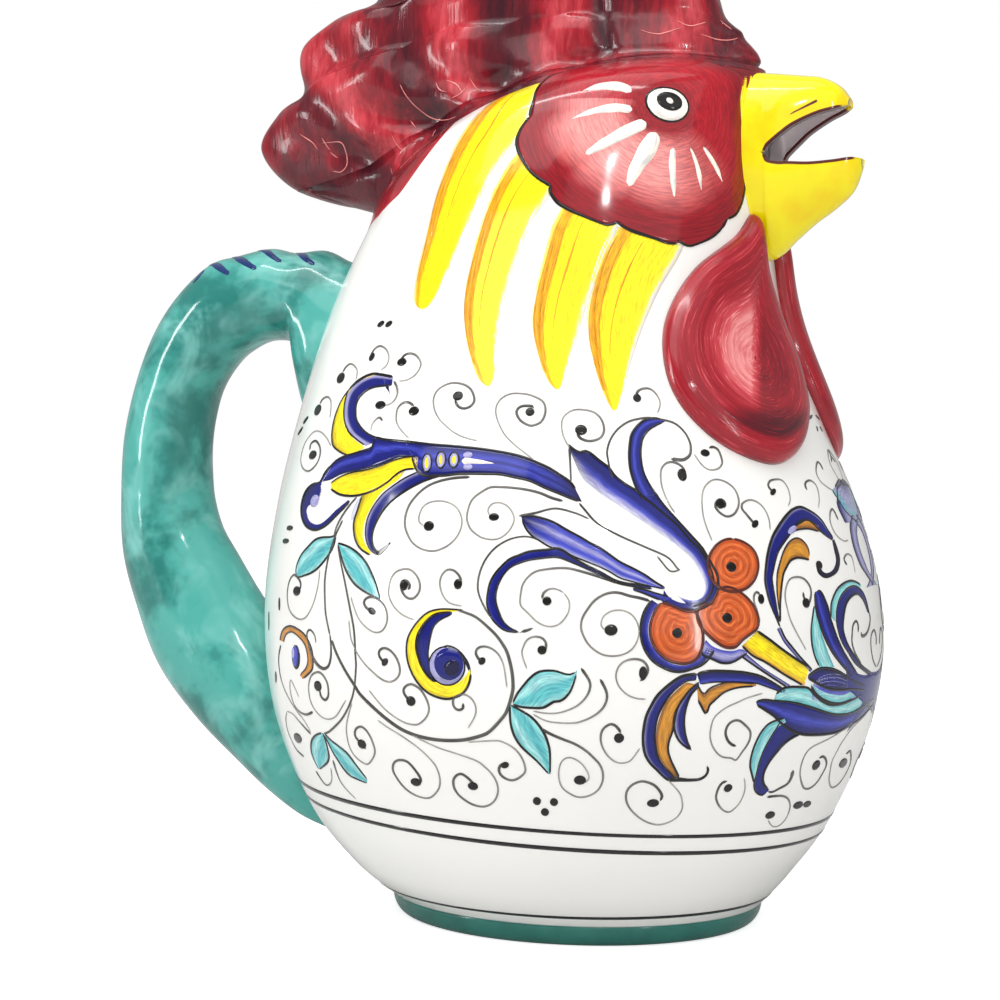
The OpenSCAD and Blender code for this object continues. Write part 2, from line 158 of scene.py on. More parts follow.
def grid_faces(rows, columns, closed=(False, False)):
    """Four-cornered faces between the points of a grid, counted row by row; closed says
    whether the last row joins the first, and the last column the first."""
    j, i = np.meshgrid(np.arange(rows - (not closed[0])), np.arange(columns - (not closed[1])),
                       indexing="ij")
    j, i = j.ravel(), i.ravel()
    below, beside = (j + 1) % rows, (i + 1) % columns
    return np.stack([j * columns + i, j * columns + beside, below * columns + beside,
                     below * columns + i], -1)


def end_fans(rows, columns):
    """Faces with three corners that close the first and the last ring of a tube to its two
    end points, which follow the points of its grid."""
    k, last = np.arange(columns), rows * columns
    beside, none = (k + 1) % columns, 0 * k - 1
    return np.vstack([np.stack([0 * k + last, beside, k, none], -1),
                      np.stack([0 * k + last + 1, last - columns + k, last - columns + beside,
                                none], -1)])


def piece(name, points, faces, material, nodes=()):
    """A mesh object from points in millimetres and rows of corner numbers, riding on the
    root; a corner of -1 leaves a face with three corners."""
    mesh = bpy.data.meshes.new(name)
    corners = [tuple(int(c) for c in f if c >= 0) for f in faces]
    mesh.from_pydata((np.asarray(points).reshape(-1, 3) * MM).tolist(), [], corners)
    mesh.polygons.foreach_set("use_smooth", np.ones(len(corners), bool))
    mesh.materials.append(material)
    mesh.update()
    made = bpy.data.objects.new(name, mesh)
    bpy.context.scene.collection.objects.link(made)
    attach(made, "root")
    if nodes:
        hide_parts(*nodes)
    return made


class Shade:
    """One socket of a material. Sums and products of shades add its Math nodes, and node()
    adds any other: a type, its settings, and the values or shades of its sockets."""

    def __init__(self, material, socket=None):
        self.material, self.socket = material, socket

    def node(self, kind, settings=None, sockets=None, out=0):
        made = self.material.node_tree.nodes.new("ShaderNode" + kind)
        for name, value in (settings or {}).items():
            if name == "stops":
                band = made.color_ramp.elements
                while len(band) < len(value):
                    band.new(0.5)
                for stop, (place, colour) in zip(band, value):
                    stop.position, stop.color = place, (*colour, 1.0)
            else:
                setattr(made, name, value)
        for key, value in (sockets or {}).items():
            if isinstance(value, Shade):
                self.material.node_tree.links.new(value.socket, made.inputs[key])
            else:
                made.inputs[key].default_value = value
        return Shade(self.material, made.outputs[out])

    def maths(self, operation, *values, **settings):
        return self.node("Math", {"operation": operation, **settings}, dict(enumerate(values)))

    def __add__(self, other):
        return self.maths("ADD", self, other)

    def __sub__(self, other):
        return self.maths("SUBTRACT", self, other)

    def __rsub__(self, other):
        return self.maths("SUBTRACT", other, self)

    def __mul__(self, other):
        return self.maths("MULTIPLY", self, other)

    __radd__, __rmul__ = __add__, __mul__

    def between(self, low, high):
        """0 below low, 1 above high, and smooth between them."""
        return self.node("MapRange", {"interpolation_type": "SMOOTHSTEP"},
                         {"Value": self, "From Min": low, "From Max": high})

    def mix(self, first, second):
        """The first colour where this shade is 0, the second where it is 1."""
        pair = [c if isinstance(c, Shade) else (*c, 1.0) for c in (first, second)]
        return self.node("Mix", {"data_type": "RGBA"}, {0: self, 6: pair[0], 7: pair[1]}, 2)

    def noise(self, scale, detail=3.0, rough=0.55, bend=0.0, stretch=(1, 1, 1)):
        """Cloudy noise on the piece's own coordinates, scale in cycles per metre."""
        place = self.node("TexCoord", out=3)
        place = self.node("Mapping", {}, {0: place, 3: stretch})
        return self.node("TexNoise", {}, {"Vector": place, "Scale": scale, "Detail": detail,
                                          "Roughness": rough, "Distortion": bend})


def glaze(name, paint):
    """A glossy fired glaze. paint takes a Shade and gives the colour, the roughness and the
    height in millimetres, each a value or a shade."""
    material = bpy.data.materials.new(name)
    material.use_nodes = True
    shader = material.node_tree.nodes["Principled BSDF"]
    links = material.node_tree.links
    colour, rough, height = paint(Shade(material))
    for key, value in {"IOR": 1.5, "Specular IOR Level": 0.36, "Coat Weight": 0.2,
                       "Coat Roughness": 0.03, "Coat IOR": 1.5}.items():
        shader.inputs[key].default_value = value
    for key, value in {"Base Color": colour, "Roughness": rough}.items():
        if isinstance(value, Shade):
            links.new(value.socket, shader.inputs[key])
        else:
            shader.inputs[key].default_value = value if key == "Roughness" else (*value, 1.0)
    if isinstance(height, Shade):
        bump = Shade(material).node("Bump", {}, {"Height": height, "Distance": MM})
        links.new(bump.socket, shader.inputs["Normal"])
    return material


def white_glaze(s):
    """Warm white glaze with faint clouds, and a skin that is not quite even."""
    clouds = s.noise(14.0).between(0.35, 0.7)
    colour = clouds.mix(GLAZE_WHITE, tuple(c * 0.97 for c in GLAZE_WHITE))
    return colour, 0.10 + 0.05 * s.noise(60.0), 0.10 * s.noise(45.0, 2.0)


SIDES, OUTER_ROWS, INNER_ROWS = 288, 12, 8
outer_v = np.linspace(0, TOP, OUTER_ROWS * TOP + 1)
INNER_TOP, INNER_FLOOR = 10, 0.5
inner_v = np.linspace(INNER_TOP, INNER_FLOOR, int((INNER_TOP - INNER_FLOOR) * INNER_ROWS) + 1)
to_slot = [BODY_RINGS[TOP] + (SLOT_RING - BODY_RINGS[TOP]) * f for f in np.linspace(0, 1, 13)[1:]]
under = [lifted(r, -WALL) for r in to_slot[::-3]]
body_rows = np.vstack([through(BODY_RINGS, outer_v), to_slot, under, inner_rings(inner_v)])
turns = np.linspace(0, 2 * np.pi, SIDES, endpoint=False)
points = ring_point(body_rows[:, None, :], np.broadcast_to(turns, (len(body_rows), SIDES)))
faces = grid_faces(len(body_rows), SIDES, (False, True))
# The pouring hole leaves out the faces between two rings, within 11 degrees of the beak, and
# its jamb joins the edge of the outer opening to the edge of the inner one
HOLE_LOW, HOLE_HIGH, HOLE_SIDES = 8.5, 9.5, SIDES // 30
first_inner = len(outer_v) + len(to_slot) + len(under)
outer_low, outer_high = int(HOLE_LOW * OUTER_ROWS), int(HOLE_HIGH * OUTER_ROWS)
inner_low, inner_high = (first_inner + int((INNER_TOP - ring) * INNER_ROWS)
                         for ring in (HOLE_LOW, HOLE_HIGH))
row, column = faces[:, 0] // SIDES, faces[:, 0] % SIDES
near_beak = (column < HOLE_SIDES) | (column >= SIDES - HOLE_SIDES)
in_outer = (row >= outer_low) & (row < outer_high)
in_inner = (row >= inner_high) & (row < inner_low)
faces = faces[~(near_beak & (in_outer | in_inner))]


def hole_edge(low, high):
    """Point numbers round the hole: along its low row, up, back along its high row, down."""
    across = np.arange(-HOLE_SIDES, HOLE_SIDES + 1)
    up = np.linspace(low, high, outer_high - outer_low + 1).round().astype(int)
    loop = ([(low, c) for c in across] + [(r, HOLE_SIDES) for r in up[1:-1]]
            + [(high, c) for c in across[::-1]] + [(r, -HOLE_SIDES) for r in up[-2:0:-1]])
    return np.array([r * SIDES + c % SIDES for r, c in loop])


outer_edge, inner_edge = hole_edge(outer_low, outer_high), hole_edge(inner_low, inner_high)
jamb = np.stack([outer_edge, inner_edge, np.roll(inner_edge, -1), np.roll(outer_edge, -1)], -1)
centres = np.array([[0, 0, BODY_RINGS[0][1]], [0, 0, points[-1, 0, 2]]])
piece("body_shell", np.vstack([points.reshape(-1, 3), centres]),
      np.vstack([faces, jamb, end_fans(len(body_rows), SIDES)]),
      glaze("white_tin_glaze", white_glaze), ["body"])

# The painted rings: two thin dark lines round the foot of the belly and one over the green
# foot, drawn with a fine brush on the raw white glaze and fired into it. Every painted mark
# is a thin closed layer that follows the skin, given for the right side and mirrored.
INK = fired(14, 12, 12)
# A pixel of the picture is a quarter of a millimetre on the pitcher
PX_MM = 0.25


def seen(points):
    """Where the camera sees points in millimetres, in pixels of the picture."""
    away = points - EYE
    near = FOCAL_PX / (away @ SIGHT)
    return np.stack([FRAME_PX / 2 + away @ RIGHT * near, FRAME_PX / 2 - away @ UP * near], -1)


def pixels(text):
    """The pixels "x y x y ..." of a text, one to a row."""
    return np.array(text.split(), float).reshape(-1, 2)


class Ground:
    """A glazed surface to paint on: a function of u and v, and a table of the places of it
    that face the camera, with their pixels."""

    def __init__(self, surface, us, vs):
        self.surface, self.low, self.high = surface, vs[0] + 0.01, vs[-1] - 0.01
        u, v = (g.ravel() for g in np.meshgrid(us, vs))
        at = surface(u, v)
        facing = (outward(surface, u, v) * (EYE - at)).sum(-1) > 0
        self.u, self.v, self.px = u[facing], v[facing], seen(at[facing])

    def under_pencil(self, px):
        """Place of the surface seen at each pixel: the nearest row of the table, then short
        Newton steps."""
        near = ((self.px[None] - px[:, None]) ** 2).sum(-1).argmin(1)
        u, v, step = self.u[near], self.v[near], 1e-4
        for _ in range(12):
            at = seen(self.surface(u, v))
            by_u = (seen(self.surface(u + step, v)) - at) / step
            by_v = (seen(self.surface(u, v + step)) - at) / step
            miss = px - at
            area = by_u[:, 0] * by_v[:, 1] - by_u[:, 1] * by_v[:, 0]
            area = np.where(np.abs(area) < 100, np.sign(area + 1e-9) * 100, area)
            along_u = (miss[:, 0] * by_v[:, 1] - miss[:, 1] * by_v[:, 0]) / area
            along_v = (by_u[:, 0] * miss[:, 1] - by_u[:, 1] * miss[:, 0]) / area
            u = u + np.clip(along_u, -0.03, 0.03)
            v = np.clip(v + np.clip(along_v, -0.1, 0.1), self.low, self.high)
        return np.stack([u, v], -1)

    def spread(self, place, step):
        """Points of the smooth curve through some places, step mm apart, and how far along
        it each lies."""
        fine = through(place, np.linspace(0, len(place) - 1, 16 * len(place)))
        fine[:, 1] = np.clip(fine[:, 1], self.low, self.high)
        run = np.linalg.norm(np.diff(self.surface(fine[:, 0], fine[:, 1]), axis=0), axis=1)
        run = np.concatenate([[0], np.cumsum(run)])
        along = np.linspace(0, run[-1], max(int(run[-1] / step) + 1, 5))
        return np.stack([np.interp(along, run, fine[:, k]) for k in (0, 1)], -1), along

    def pencil(self, text, step=0.6):
        """The path drawn through the pixels of a text, laid on the surface."""
        return self.spread(self.under_pencil(pixels(text)), step)

    def beside(self, place, offset):
        """Places offset mm to the left of a path: the offset, square to the path and to the
        normal, is shared out between the slopes of the surface along u and v."""
        u, v, step = place[..., 0], place[..., 1], 1e-4
        by_u = (self.surface(u + step, v) - self.surface(u - step, v)) / (2 * step)
        by_v = (self.surface(u, v + step) - self.surface(u, v - step)) / (2 * step)
        run = np.gradient(self.surface(u, v), axis=0)
        left = np.cross(unit(np.cross(by_u, by_v)), unit(run)) * np.asarray(offset)[..., None]
        uu, uv, vv = (by_u * by_u).sum(-1), (by_u * by_v).sum(-1), (by_v * by_v).sum(-1)
        lu, lv = (left * by_u).sum(-1), (left * by_v).sum(-1)
        area = uu * vv - uv * uv
        moved = place + np.stack([(vv * lu - uv * lv) / area, (uu * lv - uv * lu) / area], -1)
        return np.stack([moved[..., 0], np.clip(moved[..., 1], self.low, self.high)], -1)

    def drape(self, place, lift):
        """Points over places of the surface, lifted along its normal."""
        u, v = place[..., 0], place[..., 1]
        return self.surface(u, v) + outward(self.surface, u, v) * np.asarray(lift)[..., None]


BELLY = Ground(skin, np.radians(np.arange(-176.0, 40.0, 2.0)), np.linspace(0, TOP, 90))


def blend(stops, t):
    """Numbers or colours spread evenly from 0 to 1 and joined smoothly, read at t."""
    stops = np.asarray(stops, float)
    if len(stops) == 1:
        stops = np.concatenate([stops, stops])
    stops = stops.reshape(len(stops), -1)
    at = np.asarray(t) * (len(stops) - 1)
    low = np.clip(at.astype(int), 0, len(stops) - 2)
    f = (at - low)[..., None]
    f = f * f * (3 - 2 * f)
    return stops[low] * (1 - f) + stops[low + 1] * f


def flipped(faces):
    """The same faces seen from their other side, a missing fourth corner kept last."""
    return np.where(faces[:, 3:] < 0, faces[:, [0, 2, 1, 3]], faces[:, ::-1])


PAINTED = {}


def layer(group, place, colour, lift, cover=2.0, closed=False, on=BELLY):
    """One painted mark: a closed slab between a sheet of places lifted over the skin and a
    plainer floor just under it, kept for its group with its colour, its cover and its own
    lengths along and across."""
    rows, columns = place.shape[:2]
    cover = np.broadcast_to(cover, (rows, columns))
    under = np.linspace(columns - 1, 0, 2 + columns // 8).astype(int)
    top = on.drape(place, np.full(place.shape[:2], lift))
    bottom = on.drape(place[:, under], np.full((rows, len(under)), -0.05))
    points = np.concatenate([top, bottom], 1)
    wide = columns + len(under)
    faces = grid_faces(rows, wide, (closed, True))
    rim = faces[:, 0] % wide >= columns - 1
    if not closed:
        k = np.arange(1, wide - 1)
        caps = np.stack([0 * k + wide - 1, k - 1, k, 0 * k - 1], -1)
        far = np.where(caps < 0, -1, caps + (rows - 1) * wide)[:, [0, 2, 1, 3]]
        faces = np.vstack([faces, caps, far])
        rim = np.concatenate([rim, np.ones(2 * len(caps), bool)])
    mid_row, mid = rows // 2, columns // 2
    a, b = top[mid_row, mid] - top[mid_row, mid - 1], top[mid_row, mid] - top[mid_row - 1, mid]
    u, v = place[mid_row, mid]
    if np.dot(np.cross(a, b), outward(on.surface, u, v)) < 0:
        faces = flipped(faces)
    along = np.linalg.norm(np.diff(top[:, mid], axis=0), axis=1)
    along = np.concatenate([[0], np.cumsum(along)])[:, None] + 0 * cover
    across = np.linalg.norm(np.diff(top, axis=1), axis=2)
    across = np.concatenate([np.zeros((rows, 1)), np.cumsum(across, 1)], 1)
    seed = 7.3 * len(PAINTED.setdefault(group, []))
    carried = [np.concatenate([a, a[:, under]], 1).reshape(rows * wide, -1)
               for a in (colour, cover[..., None], np.stack([along + seed, across + seed], -1))]
    PAINTED[group].append((points.reshape(-1, 3), faces, rim, *carried))


def line(group, path, widths, colour=INK, tone=(1.0,), lift=0.10, round_ends=True, on=BELLY):
    """A brush line along a path of pixels, or of places of the skin, its widths in pixels
    spread along it; a tone under 1 lets the white glaze show through."""
    place, along = on.pencil(path) if isinstance(path, str) else on.spread(path, 0.6)
    f = along / along[-1]
    wide = blend(widths, f)[:, 0] * PX_MM / 2
    if round_ends:
        near = np.minimum(along, along[-1] - along) / np.maximum(wide, 0.05)
        wide = wide * np.where(near < 1, np.sqrt(np.clip(near * (2 - near), 0.02, 1)), 1)
    place = np.stack([on.beside(place, -wide), place, on.beside(place, wide)], 1)
    thin = blend(tone, f)[:, :, None]
    shade = np.array(colour) * thin + np.array(GLAZE_WHITE) * (1 - thin) + 0 * place[..., :1]
    layer(group, place, shade, lift, on=on)


def strokes(group, text, colour=INK, **options):
    """Draws each line of a text: its widths, a bar and its path, and a slash after each."""
    for entry in text.split("/"):
        widths, path = entry.split("|")
        line(group, path, [float(n) for n in widths.split()], colour, **options)


def dot(group, x, y, length, width, angle=0.0, colour=INK, lift=0.12):
    """A drop of colour: an ellipse of pixels, its length turned by an angle from the right."""
    turned = np.radians(angle)
    reach = np.array([np.cos(turned), -np.sin(turned)]) * length / 2
    ends = [np.array([x, y]) + reach * k for k in (-1, -0.5, 0, 0.5, 1)]
    place, along = BELLY.spread(BELLY.under_pencil(np.array(ends)), max(length / 56, 0.05))
    f = np.linspace(0, np.pi, len(place))
    place = through(place, (1 - np.cos(f)) / 2 * (len(place) - 1))
    wide = np.maximum(np.sin(f), 0.03) * width * PX_MM / 2
    place = np.stack([BELLY.beside(place, k * wide) for k in (-1, -0.5, 0, 0.5, 1)], 1)
    shade = np.array(colour) + 0 * place[..., :1]
    layer(group, place, shade, lift)


def at_shares(edges, t):
    """Places at shares t of the length of each drawn edge."""
    return [np.stack([np.interp(t, along / along[-1], place[:, k]) for k in (0, 1)], -1)
            for place, along in edges]


def leaf(group, edge_a, edge_b, colours, cover=(2.0,), lift=0.06, fade=(0.0, 0.0), columns=9,
         outline=(None, None), ends=(None, None)):
    """A brushed leaf between two paths of pixels: its colours and its cover are spread from
    the first edge to the second, and fade over its first and last mm. ends are colours for
    its two tips, and an outline gives the widths of a dark line along each edge."""
    edges = [BELLY.pencil(edge) for edge in (edge_a, edge_b)]
    length = max(along[-1] for place, along in edges)
    t = np.linspace(0, 1, max(len(place) for place, along in edges))
    a, b = at_shares(edges, t)
    s = np.linspace(0, 1, columns)
    place = a[:, None] * (1 - s)[None, :, None] + b[:, None] * s[None, :, None]
    shade = blend(colours, s)[None] + 0 * place[..., :1]
    for end, colour in ((t, ends[0]), (1 - t, ends[1])):
        if colour is not None:
            f = np.clip(1 - end / 0.3, 0, 1)[:, None, None] ** 1.5
            shade = shade * (1 - f) + np.array(colour) * f
    hold = blend(cover, s)[None, :, 0] + 0 * place[..., 0]
    for end, reach in ((t, fade[0]), (1 - t, fade[1])):
        if reach:
            hold = hold * np.clip(end * length / reach, 0, 1)[:, None]
    layer(group, place, shade, lift, hold)
    for edge, widths in ((a, outline[0]), (b, outline[1])):
        if widths is not None:
            line(group + "_lines", edge[::2], widths, lift=lift + 0.04)


def brushed(s):
    """Pigment under the glaze: each mark's own colour, deeper and paler along the strokes of
    the brush, and thinned out to the white of the glaze where its cover ends."""
    colour = s.node("Attribute", {"attribute_name": "pigment"})
    cover = s.node("Attribute", {"attribute_name": "cover"}, out=2)
    stroke = s.node("Mapping", {}, {0: s.node("UVMap"), 3: (0.16, 1.3, 1.0)})
    hairs = s.node("TexNoise", {}, {"Vector": stroke, "Scale": 1.6, "Detail": 4.0,
                                    "Roughness": 0.65})
    deep, bright = (s.node("Mix", {"data_type": "RGBA", "blend_type": "MULTIPLY"},
                           {0: 1.0, 6: colour, 7: (*tint, 1.0)}, 2)
                    for tint in ((0.76, 0.74, 0.78), (1.28, 1.22, 1.12)))
    tone = hairs.between(0.36, 0.64).mix(deep, bright)
    white, rough, height = white_glaze(s)
    return (cover + (hairs - 0.5) * 1.1).between(0.15, 0.55).mix(white, tone), rough, height


def carry(made, **values):
    """Gives each point of a piece a number, a colour, or a place on its own flat map."""
    mesh = made.data
    for name, value in values.items():
        value = np.asarray(value, float)
        if name == "UVMap":
            corner = np.empty(len(mesh.loops), int)
            mesh.loops.foreach_get("vertex_index", corner)
            mesh.uv_layers.new(name=name).data.foreach_set("uv", value[corner].ravel())
        elif value.ndim == 2:
            colours = mesh.attributes.new(name, "FLOAT_COLOR", "POINT").data
            colours.foreach_set("color", np.hstack([value, np.ones((len(value), 1))]).ravel())
        else:
            mesh.attributes.new(name, "FLOAT", "POINT").data.foreach_set("value", value)
    mesh.update()


def paint(slot="white_glaze"):
    """Makes one piece of each group of painted marks, with its mirror image over the other
    side, carrying its colours, its cover and its lengths."""
    for group, marks in PAINTED.items():
        parts, start = [], 0
        for side in (1, -1):
            for points, faces, rim, colour, cover, lengths in marks:
                turned = faces if side > 0 else flipped(faces)
                turned = np.where(turned < 0, -1, turned + start)
                parts.append((points * (1, side, 1), turned, rim, colour, cover, lengths))
                start += len(points)
        points, faces, rim, colour, cover, lengths = (np.concatenate(a) for a in zip(*parts))
        made = piece(group, points, faces, pigment)
        made.data.polygons.foreach_set("use_smooth", ~rim)
        carry(made, pigment=colour, cover=cover[:, 0], UVMap=lengths)
    PAINTED.clear()


pigment = glaze("brushed_pigment", brushed)


def at_height(u, z):
    """The places of the skin at turn u and height z, by halving."""
    low, high = np.zeros_like(u), np.full_like(u, TOP)
    for _ in range(24):
        v = (low + high) / 2
        below = skin(u, v)[..., 2] < z
        low, high = np.where(below, v, low), np.where(below, high, v)
    return np.stack([u, v], -1)


half_turn = np.linspace(-np.pi, 0, 90)
# height, how far it dips towards the beak, and widths
for z, dip, widths in ((30.6, 2.5, (3.4, 4.4, 3.5, 4.0)), (26.6, 2.7, (3.2, 3.8, 4.4, 3.5)),
                       (7.6, 0.0, (3.6, 3.2, 4.0, 3.6))):
    line("painted_rings", at_height(half_turn, z - dip * np.cos(half_turn)), widths,
         round_ends=False)
paint()

# The foot: a disc of the same clay, turned and luted under the body, with a flat rest and a
# rounded edge under dark green glaze.
FOOT_R, REST_R, FOOT_H = 46.0, 42.5, 5.0
FOOT_GREEN, FOOT_PALE = (0.012, 0.105, 0.085), (0.03, 0.21, 0.17)


def foot_glaze(s):
    """Dark green glaze that thins towards the rest."""
    return s.noise(120.0).mix(FOOT_GREEN, FOOT_PALE), 0.14, 0.1 * s.noise(200.0)


curve = np.linspace(0, np.pi / 2, 17)
edge_r = np.concatenate([[REST_R * 0.5, REST_R], REST_R + (FOOT_R - REST_R) * np.sin(curve[1:]),
                         [FOOT_R * 0.9]])
edge_z = np.concatenate([[0, 0], FOOT_H * (1 - np.cos(curve[1:])), [FOOT_H]])
points = np.stack([edge_r[:, None] * np.cos(turns), edge_r[:, None] * np.sin(turns),
                   np.broadcast_to(edge_z[:, None], (len(edge_r), SIDES))], -1)
piece("turned_foot", np.vstack([points.reshape(-1, 3), [[0, 0, 0], [0, 0, FOOT_H]]]),
      np.vstack([grid_faces(len(points), SIDES, (False, True)), end_fans(len(points), SIDES)]),
      glaze("foot_green_glaze", foot_glaze), ["foot"])

# The handle: a loop of clay pulled by hand and pressed on at the nape and the lower belly,
# under mottled green glaze, with five dark blue dashes brushed across its top.
HANDLE_GREEN, POOL_GREEN = fired(78, 168, 158), fired(36, 120, 112)
PALE_GREEN, DASH_BLUE = fired(136, 206, 198), fired(20, 48, 108)
# stand-off of the outer point from the body's back, its z, the same for the inner point,
# half width
HANDLE_RINGS = np.array([
    [-2.1, 161.1, -2.1, 120.3, 13.0], [5.2, 162.5, 1.6, 121.5, 14.0],
    [13.5, 165.3, 6.8, 131.5, 13.2], [21.3, 164.7, 9.9, 140.3, 12.5],
    [29.1, 165.8, 18.7, 141.9, 12.0], [37.4, 163.9, 25.5, 138.4, 12.0],
    [43.7, 161.9, 29.1, 133.5, 12.0], [48.9, 154.9, 31.2, 127.0, 12.0],
    [52.5, 144.9, 31.2, 119.4, 12.0], [54.1, 132.9, 30.2, 112.5, 12.0],
    [54.1, 118.0, 28.6, 106.0, 12.5], [52.0, 102.9, 26.5, 99.5, 12.5],
    [48.9, 86.0, 22.9, 92.5, 13.0], [43.7, 70.1, 17.7, 86.0, 13.5],
    [38.5, 55.0, 12.5, 79.1, 14.0], [30.7, 41.5, 6.2, 70.1, 14.0],
    [23.4, 31.5, -1.0, 56.0, 13.0], [17.7, 23.6, -3.1, 40.9, 11.0],
    [13.0, 18.1, -3.1, 28.1, 8.0], [6.2, 14.6, -2.1, 19.1, 4.0]])


def skin_x(y, z, side):
    """The body's skin at a given y and z, by halving: side 1 is the face, -1 the back."""
    low, high = np.zeros_like(z), np.full_like(z, TOP)
    for _ in range(20):
        v = (low + high) / 2
        u = np.arcsin(np.clip(y / through(BODY_RINGS, v)[..., 4], -1, 1))
        at = skin(u if side > 0 else np.pi - u, v)
        low, high = np.where(at[..., 2] < z, v, low), np.where(at[..., 2] < z, high, v)
    return at[..., 0]


def handle_surface(u, v):
    """A ring of the handle at v joins an outer and an inner point of the side outline; near
    the body the ring swells, as the pressed clay does, and never enters the skin."""
    ring = through(HANDLE_RINGS, v)
    outer, inner = (np.stack([skin_x(0 * v, z, -1) - out, z], -1)
                    for out, z in ((ring[..., 0], ring[..., 1]), (ring[..., 2], ring[..., 3])))
    p = (outer + inner) / 2 + (outer - inner) / 2 * np.cos(u)[..., None]
    y = ring[..., 4] * np.sin(u)
    back = skin_x(y, p[..., 1], -1)
    y = y * (1 + 0.10 * np.exp(-np.maximum(back - p[..., 0], 0) / 3.0))
    return np.stack([np.minimum(p[..., 0], skin_x(y, p[..., 1], -1) - 0.1), y, p[..., 1]], -1)


def green_glaze(s):
    """Green glaze, mottled where it ran thick and thin, with dark pools and pale ridges."""
    broad, fine = s.noise(34.0, 4.0, 0.6, 0.4), s.noise(190.0, 3.0)
    thick = (0.75 * broad + 0.25 * fine).between(0.40, 0.57)
    colour = thick.mix(POOL_GREEN, HANDLE_GREEN)
    colour = (0.7 * s.noise(52.0, 3.0, 0.6, 0.8).between(0.48, 0.75)).mix(colour, PALE_GREEN)
    return colour, 0.10 + 0.06 * fine, 0.35 * s.noise(70.0, 2.0)


v = np.linspace(0, len(HANDLE_RINGS) - 1, 229)
grid_v, grid_u = np.meshgrid(v, np.linspace(0, 2 * np.pi, 96, endpoint=False), indexing="ij")
points = handle_surface(grid_u, grid_v)
rows, columns = points.shape[:2]
piece("pulled_handle", np.vstack([points.reshape(-1, 3), points[0].mean(0), points[-1].mean(0)]),
      np.vstack([grid_faces(rows, columns, (False, True)), end_fans(rows, columns)]),
      glaze("mottled_green_glaze", green_glaze), ["handle"])
# The dashes, each drawn from its outer end
LOOP = Ground(handle_surface, np.radians(np.arange(-180.0, 1.0, 6.0)), np.linspace(0.5, 10, 120))
for path in """
193 283 199 276 204 270 / 211 260 219 267 229 274 / 237 256 246 263 256 269 / 263 249 271 255 281
262 / 297 253 305 258 314 265""".split("/"):
    line("handle_dashes", path, (3.5, 8, 5), DASH_BLUE, on=LOOP)
paint("green_glaze")

# The comb: a hollow crest modelled round the filling slot, with two joined lobes behind and
# three lobes a side, under streaky red glaze.
COMB_WALL, LOBE_H, COMB_H = 6.5, 24.0, 21.0
# shares of the lean and the height at the back, of the same in front, of the width and the arch
COMB_SHARES = np.array([
    [0.30, 0.03, 0.04, 0.10, 0.41, 1.06], [0.74, 0.12, 0.07, 0.19, 0.40, 1.06],
    [1.00, 0.30, 0.18, 0.29, 0.39, 1.00], [0.88, 0.46, 0.29, 0.38, 0.37, 0.90],
    [0.68, 0.57, 0.36, 0.48, 0.35, 0.75], [0.64, 0.78, 0.50, 0.57, 0.35, 0.58],
    [0.39, 0.90, 0.64, 0.67, 0.36, 0.42], [0.10, 0.93, 0.79, 0.86, 0.37, 0.25],
    [0.07, 1.00, 1.00, 1.00, 0.37, 0.00]])
BACK_LEAN, FRONT_LEAN, COMB_W = 35.0, 14.0, 44.0
CROWN = BODY_RINGS[TOP]
RIM_Z = CROWN[3] + COMB_H
COMB_RINGS = np.stack([
    CROWN[0] - COMB_SHARES[:, 0] * BACK_LEAN,
    CROWN[1] + (RIM_Z - CROWN[1]) * COMB_SHARES[:, 1],
    CROWN[2] - COMB_SHARES[:, 2] * FRONT_LEAN, CROWN[3] + COMB_SHARES[:, 3] * COMB_H,
    COMB_SHARES[:, 4] * COMB_W, COMB_SHARES[:, 5] * CROWN[5]], -1)
# start, end and reach of each groove
GROOVES = [(-0.58, -1.0, 0.55), (-0.34, -1.0, 0.95), (-0.06, -0.33, 1.0), (0.28, 0.33, 1.0)]


def groove(c, v):
    """Depth of the grooves at place c, from back -1 to front 1, of ring v: bell curves that
    wander from one place at the crown to another higher up."""
    depth = 0 * (c + v)
    for start, end, reach in GROOVES:
        f = v / 8 / reach
        at = start + (end - start) * np.minimum(f, 1)
        depth = depth + np.exp(-((c - at) / 0.12) ** 2) * np.clip((1.1 - f) / 0.1, 0, 1)
    return depth


def comb_point(ring, u, cut, lift):
    """A ring point, cut towards the middle by the grooves and raised by the three lobes."""
    p, c = ring_point(ring, u), np.cos(u)
    lobes = 0.6 * np.abs(np.sin(1.5 * np.pi * (c + 1))) ** 0.5 + 0.4 * (1 - c ** 6)
    rise = lift * LOBE_H * lobes
    return np.stack([p[..., 0] - rise * 0.17, p[..., 1] * (1 - cut * 0.2), p[..., 2] + rise], -1)


def inset(ring, by):
    """A ring drawn in towards its middle."""
    return ring + np.array([by, 0, -by, 0, -by, 0])


SEAT = lifted(CROWN + (SLOT_RING - CROWN) * 0.12, 0.1)
all_rings = np.vstack([SEAT, COMB_RINGS])
FLUTE_DEPTH = 1.1
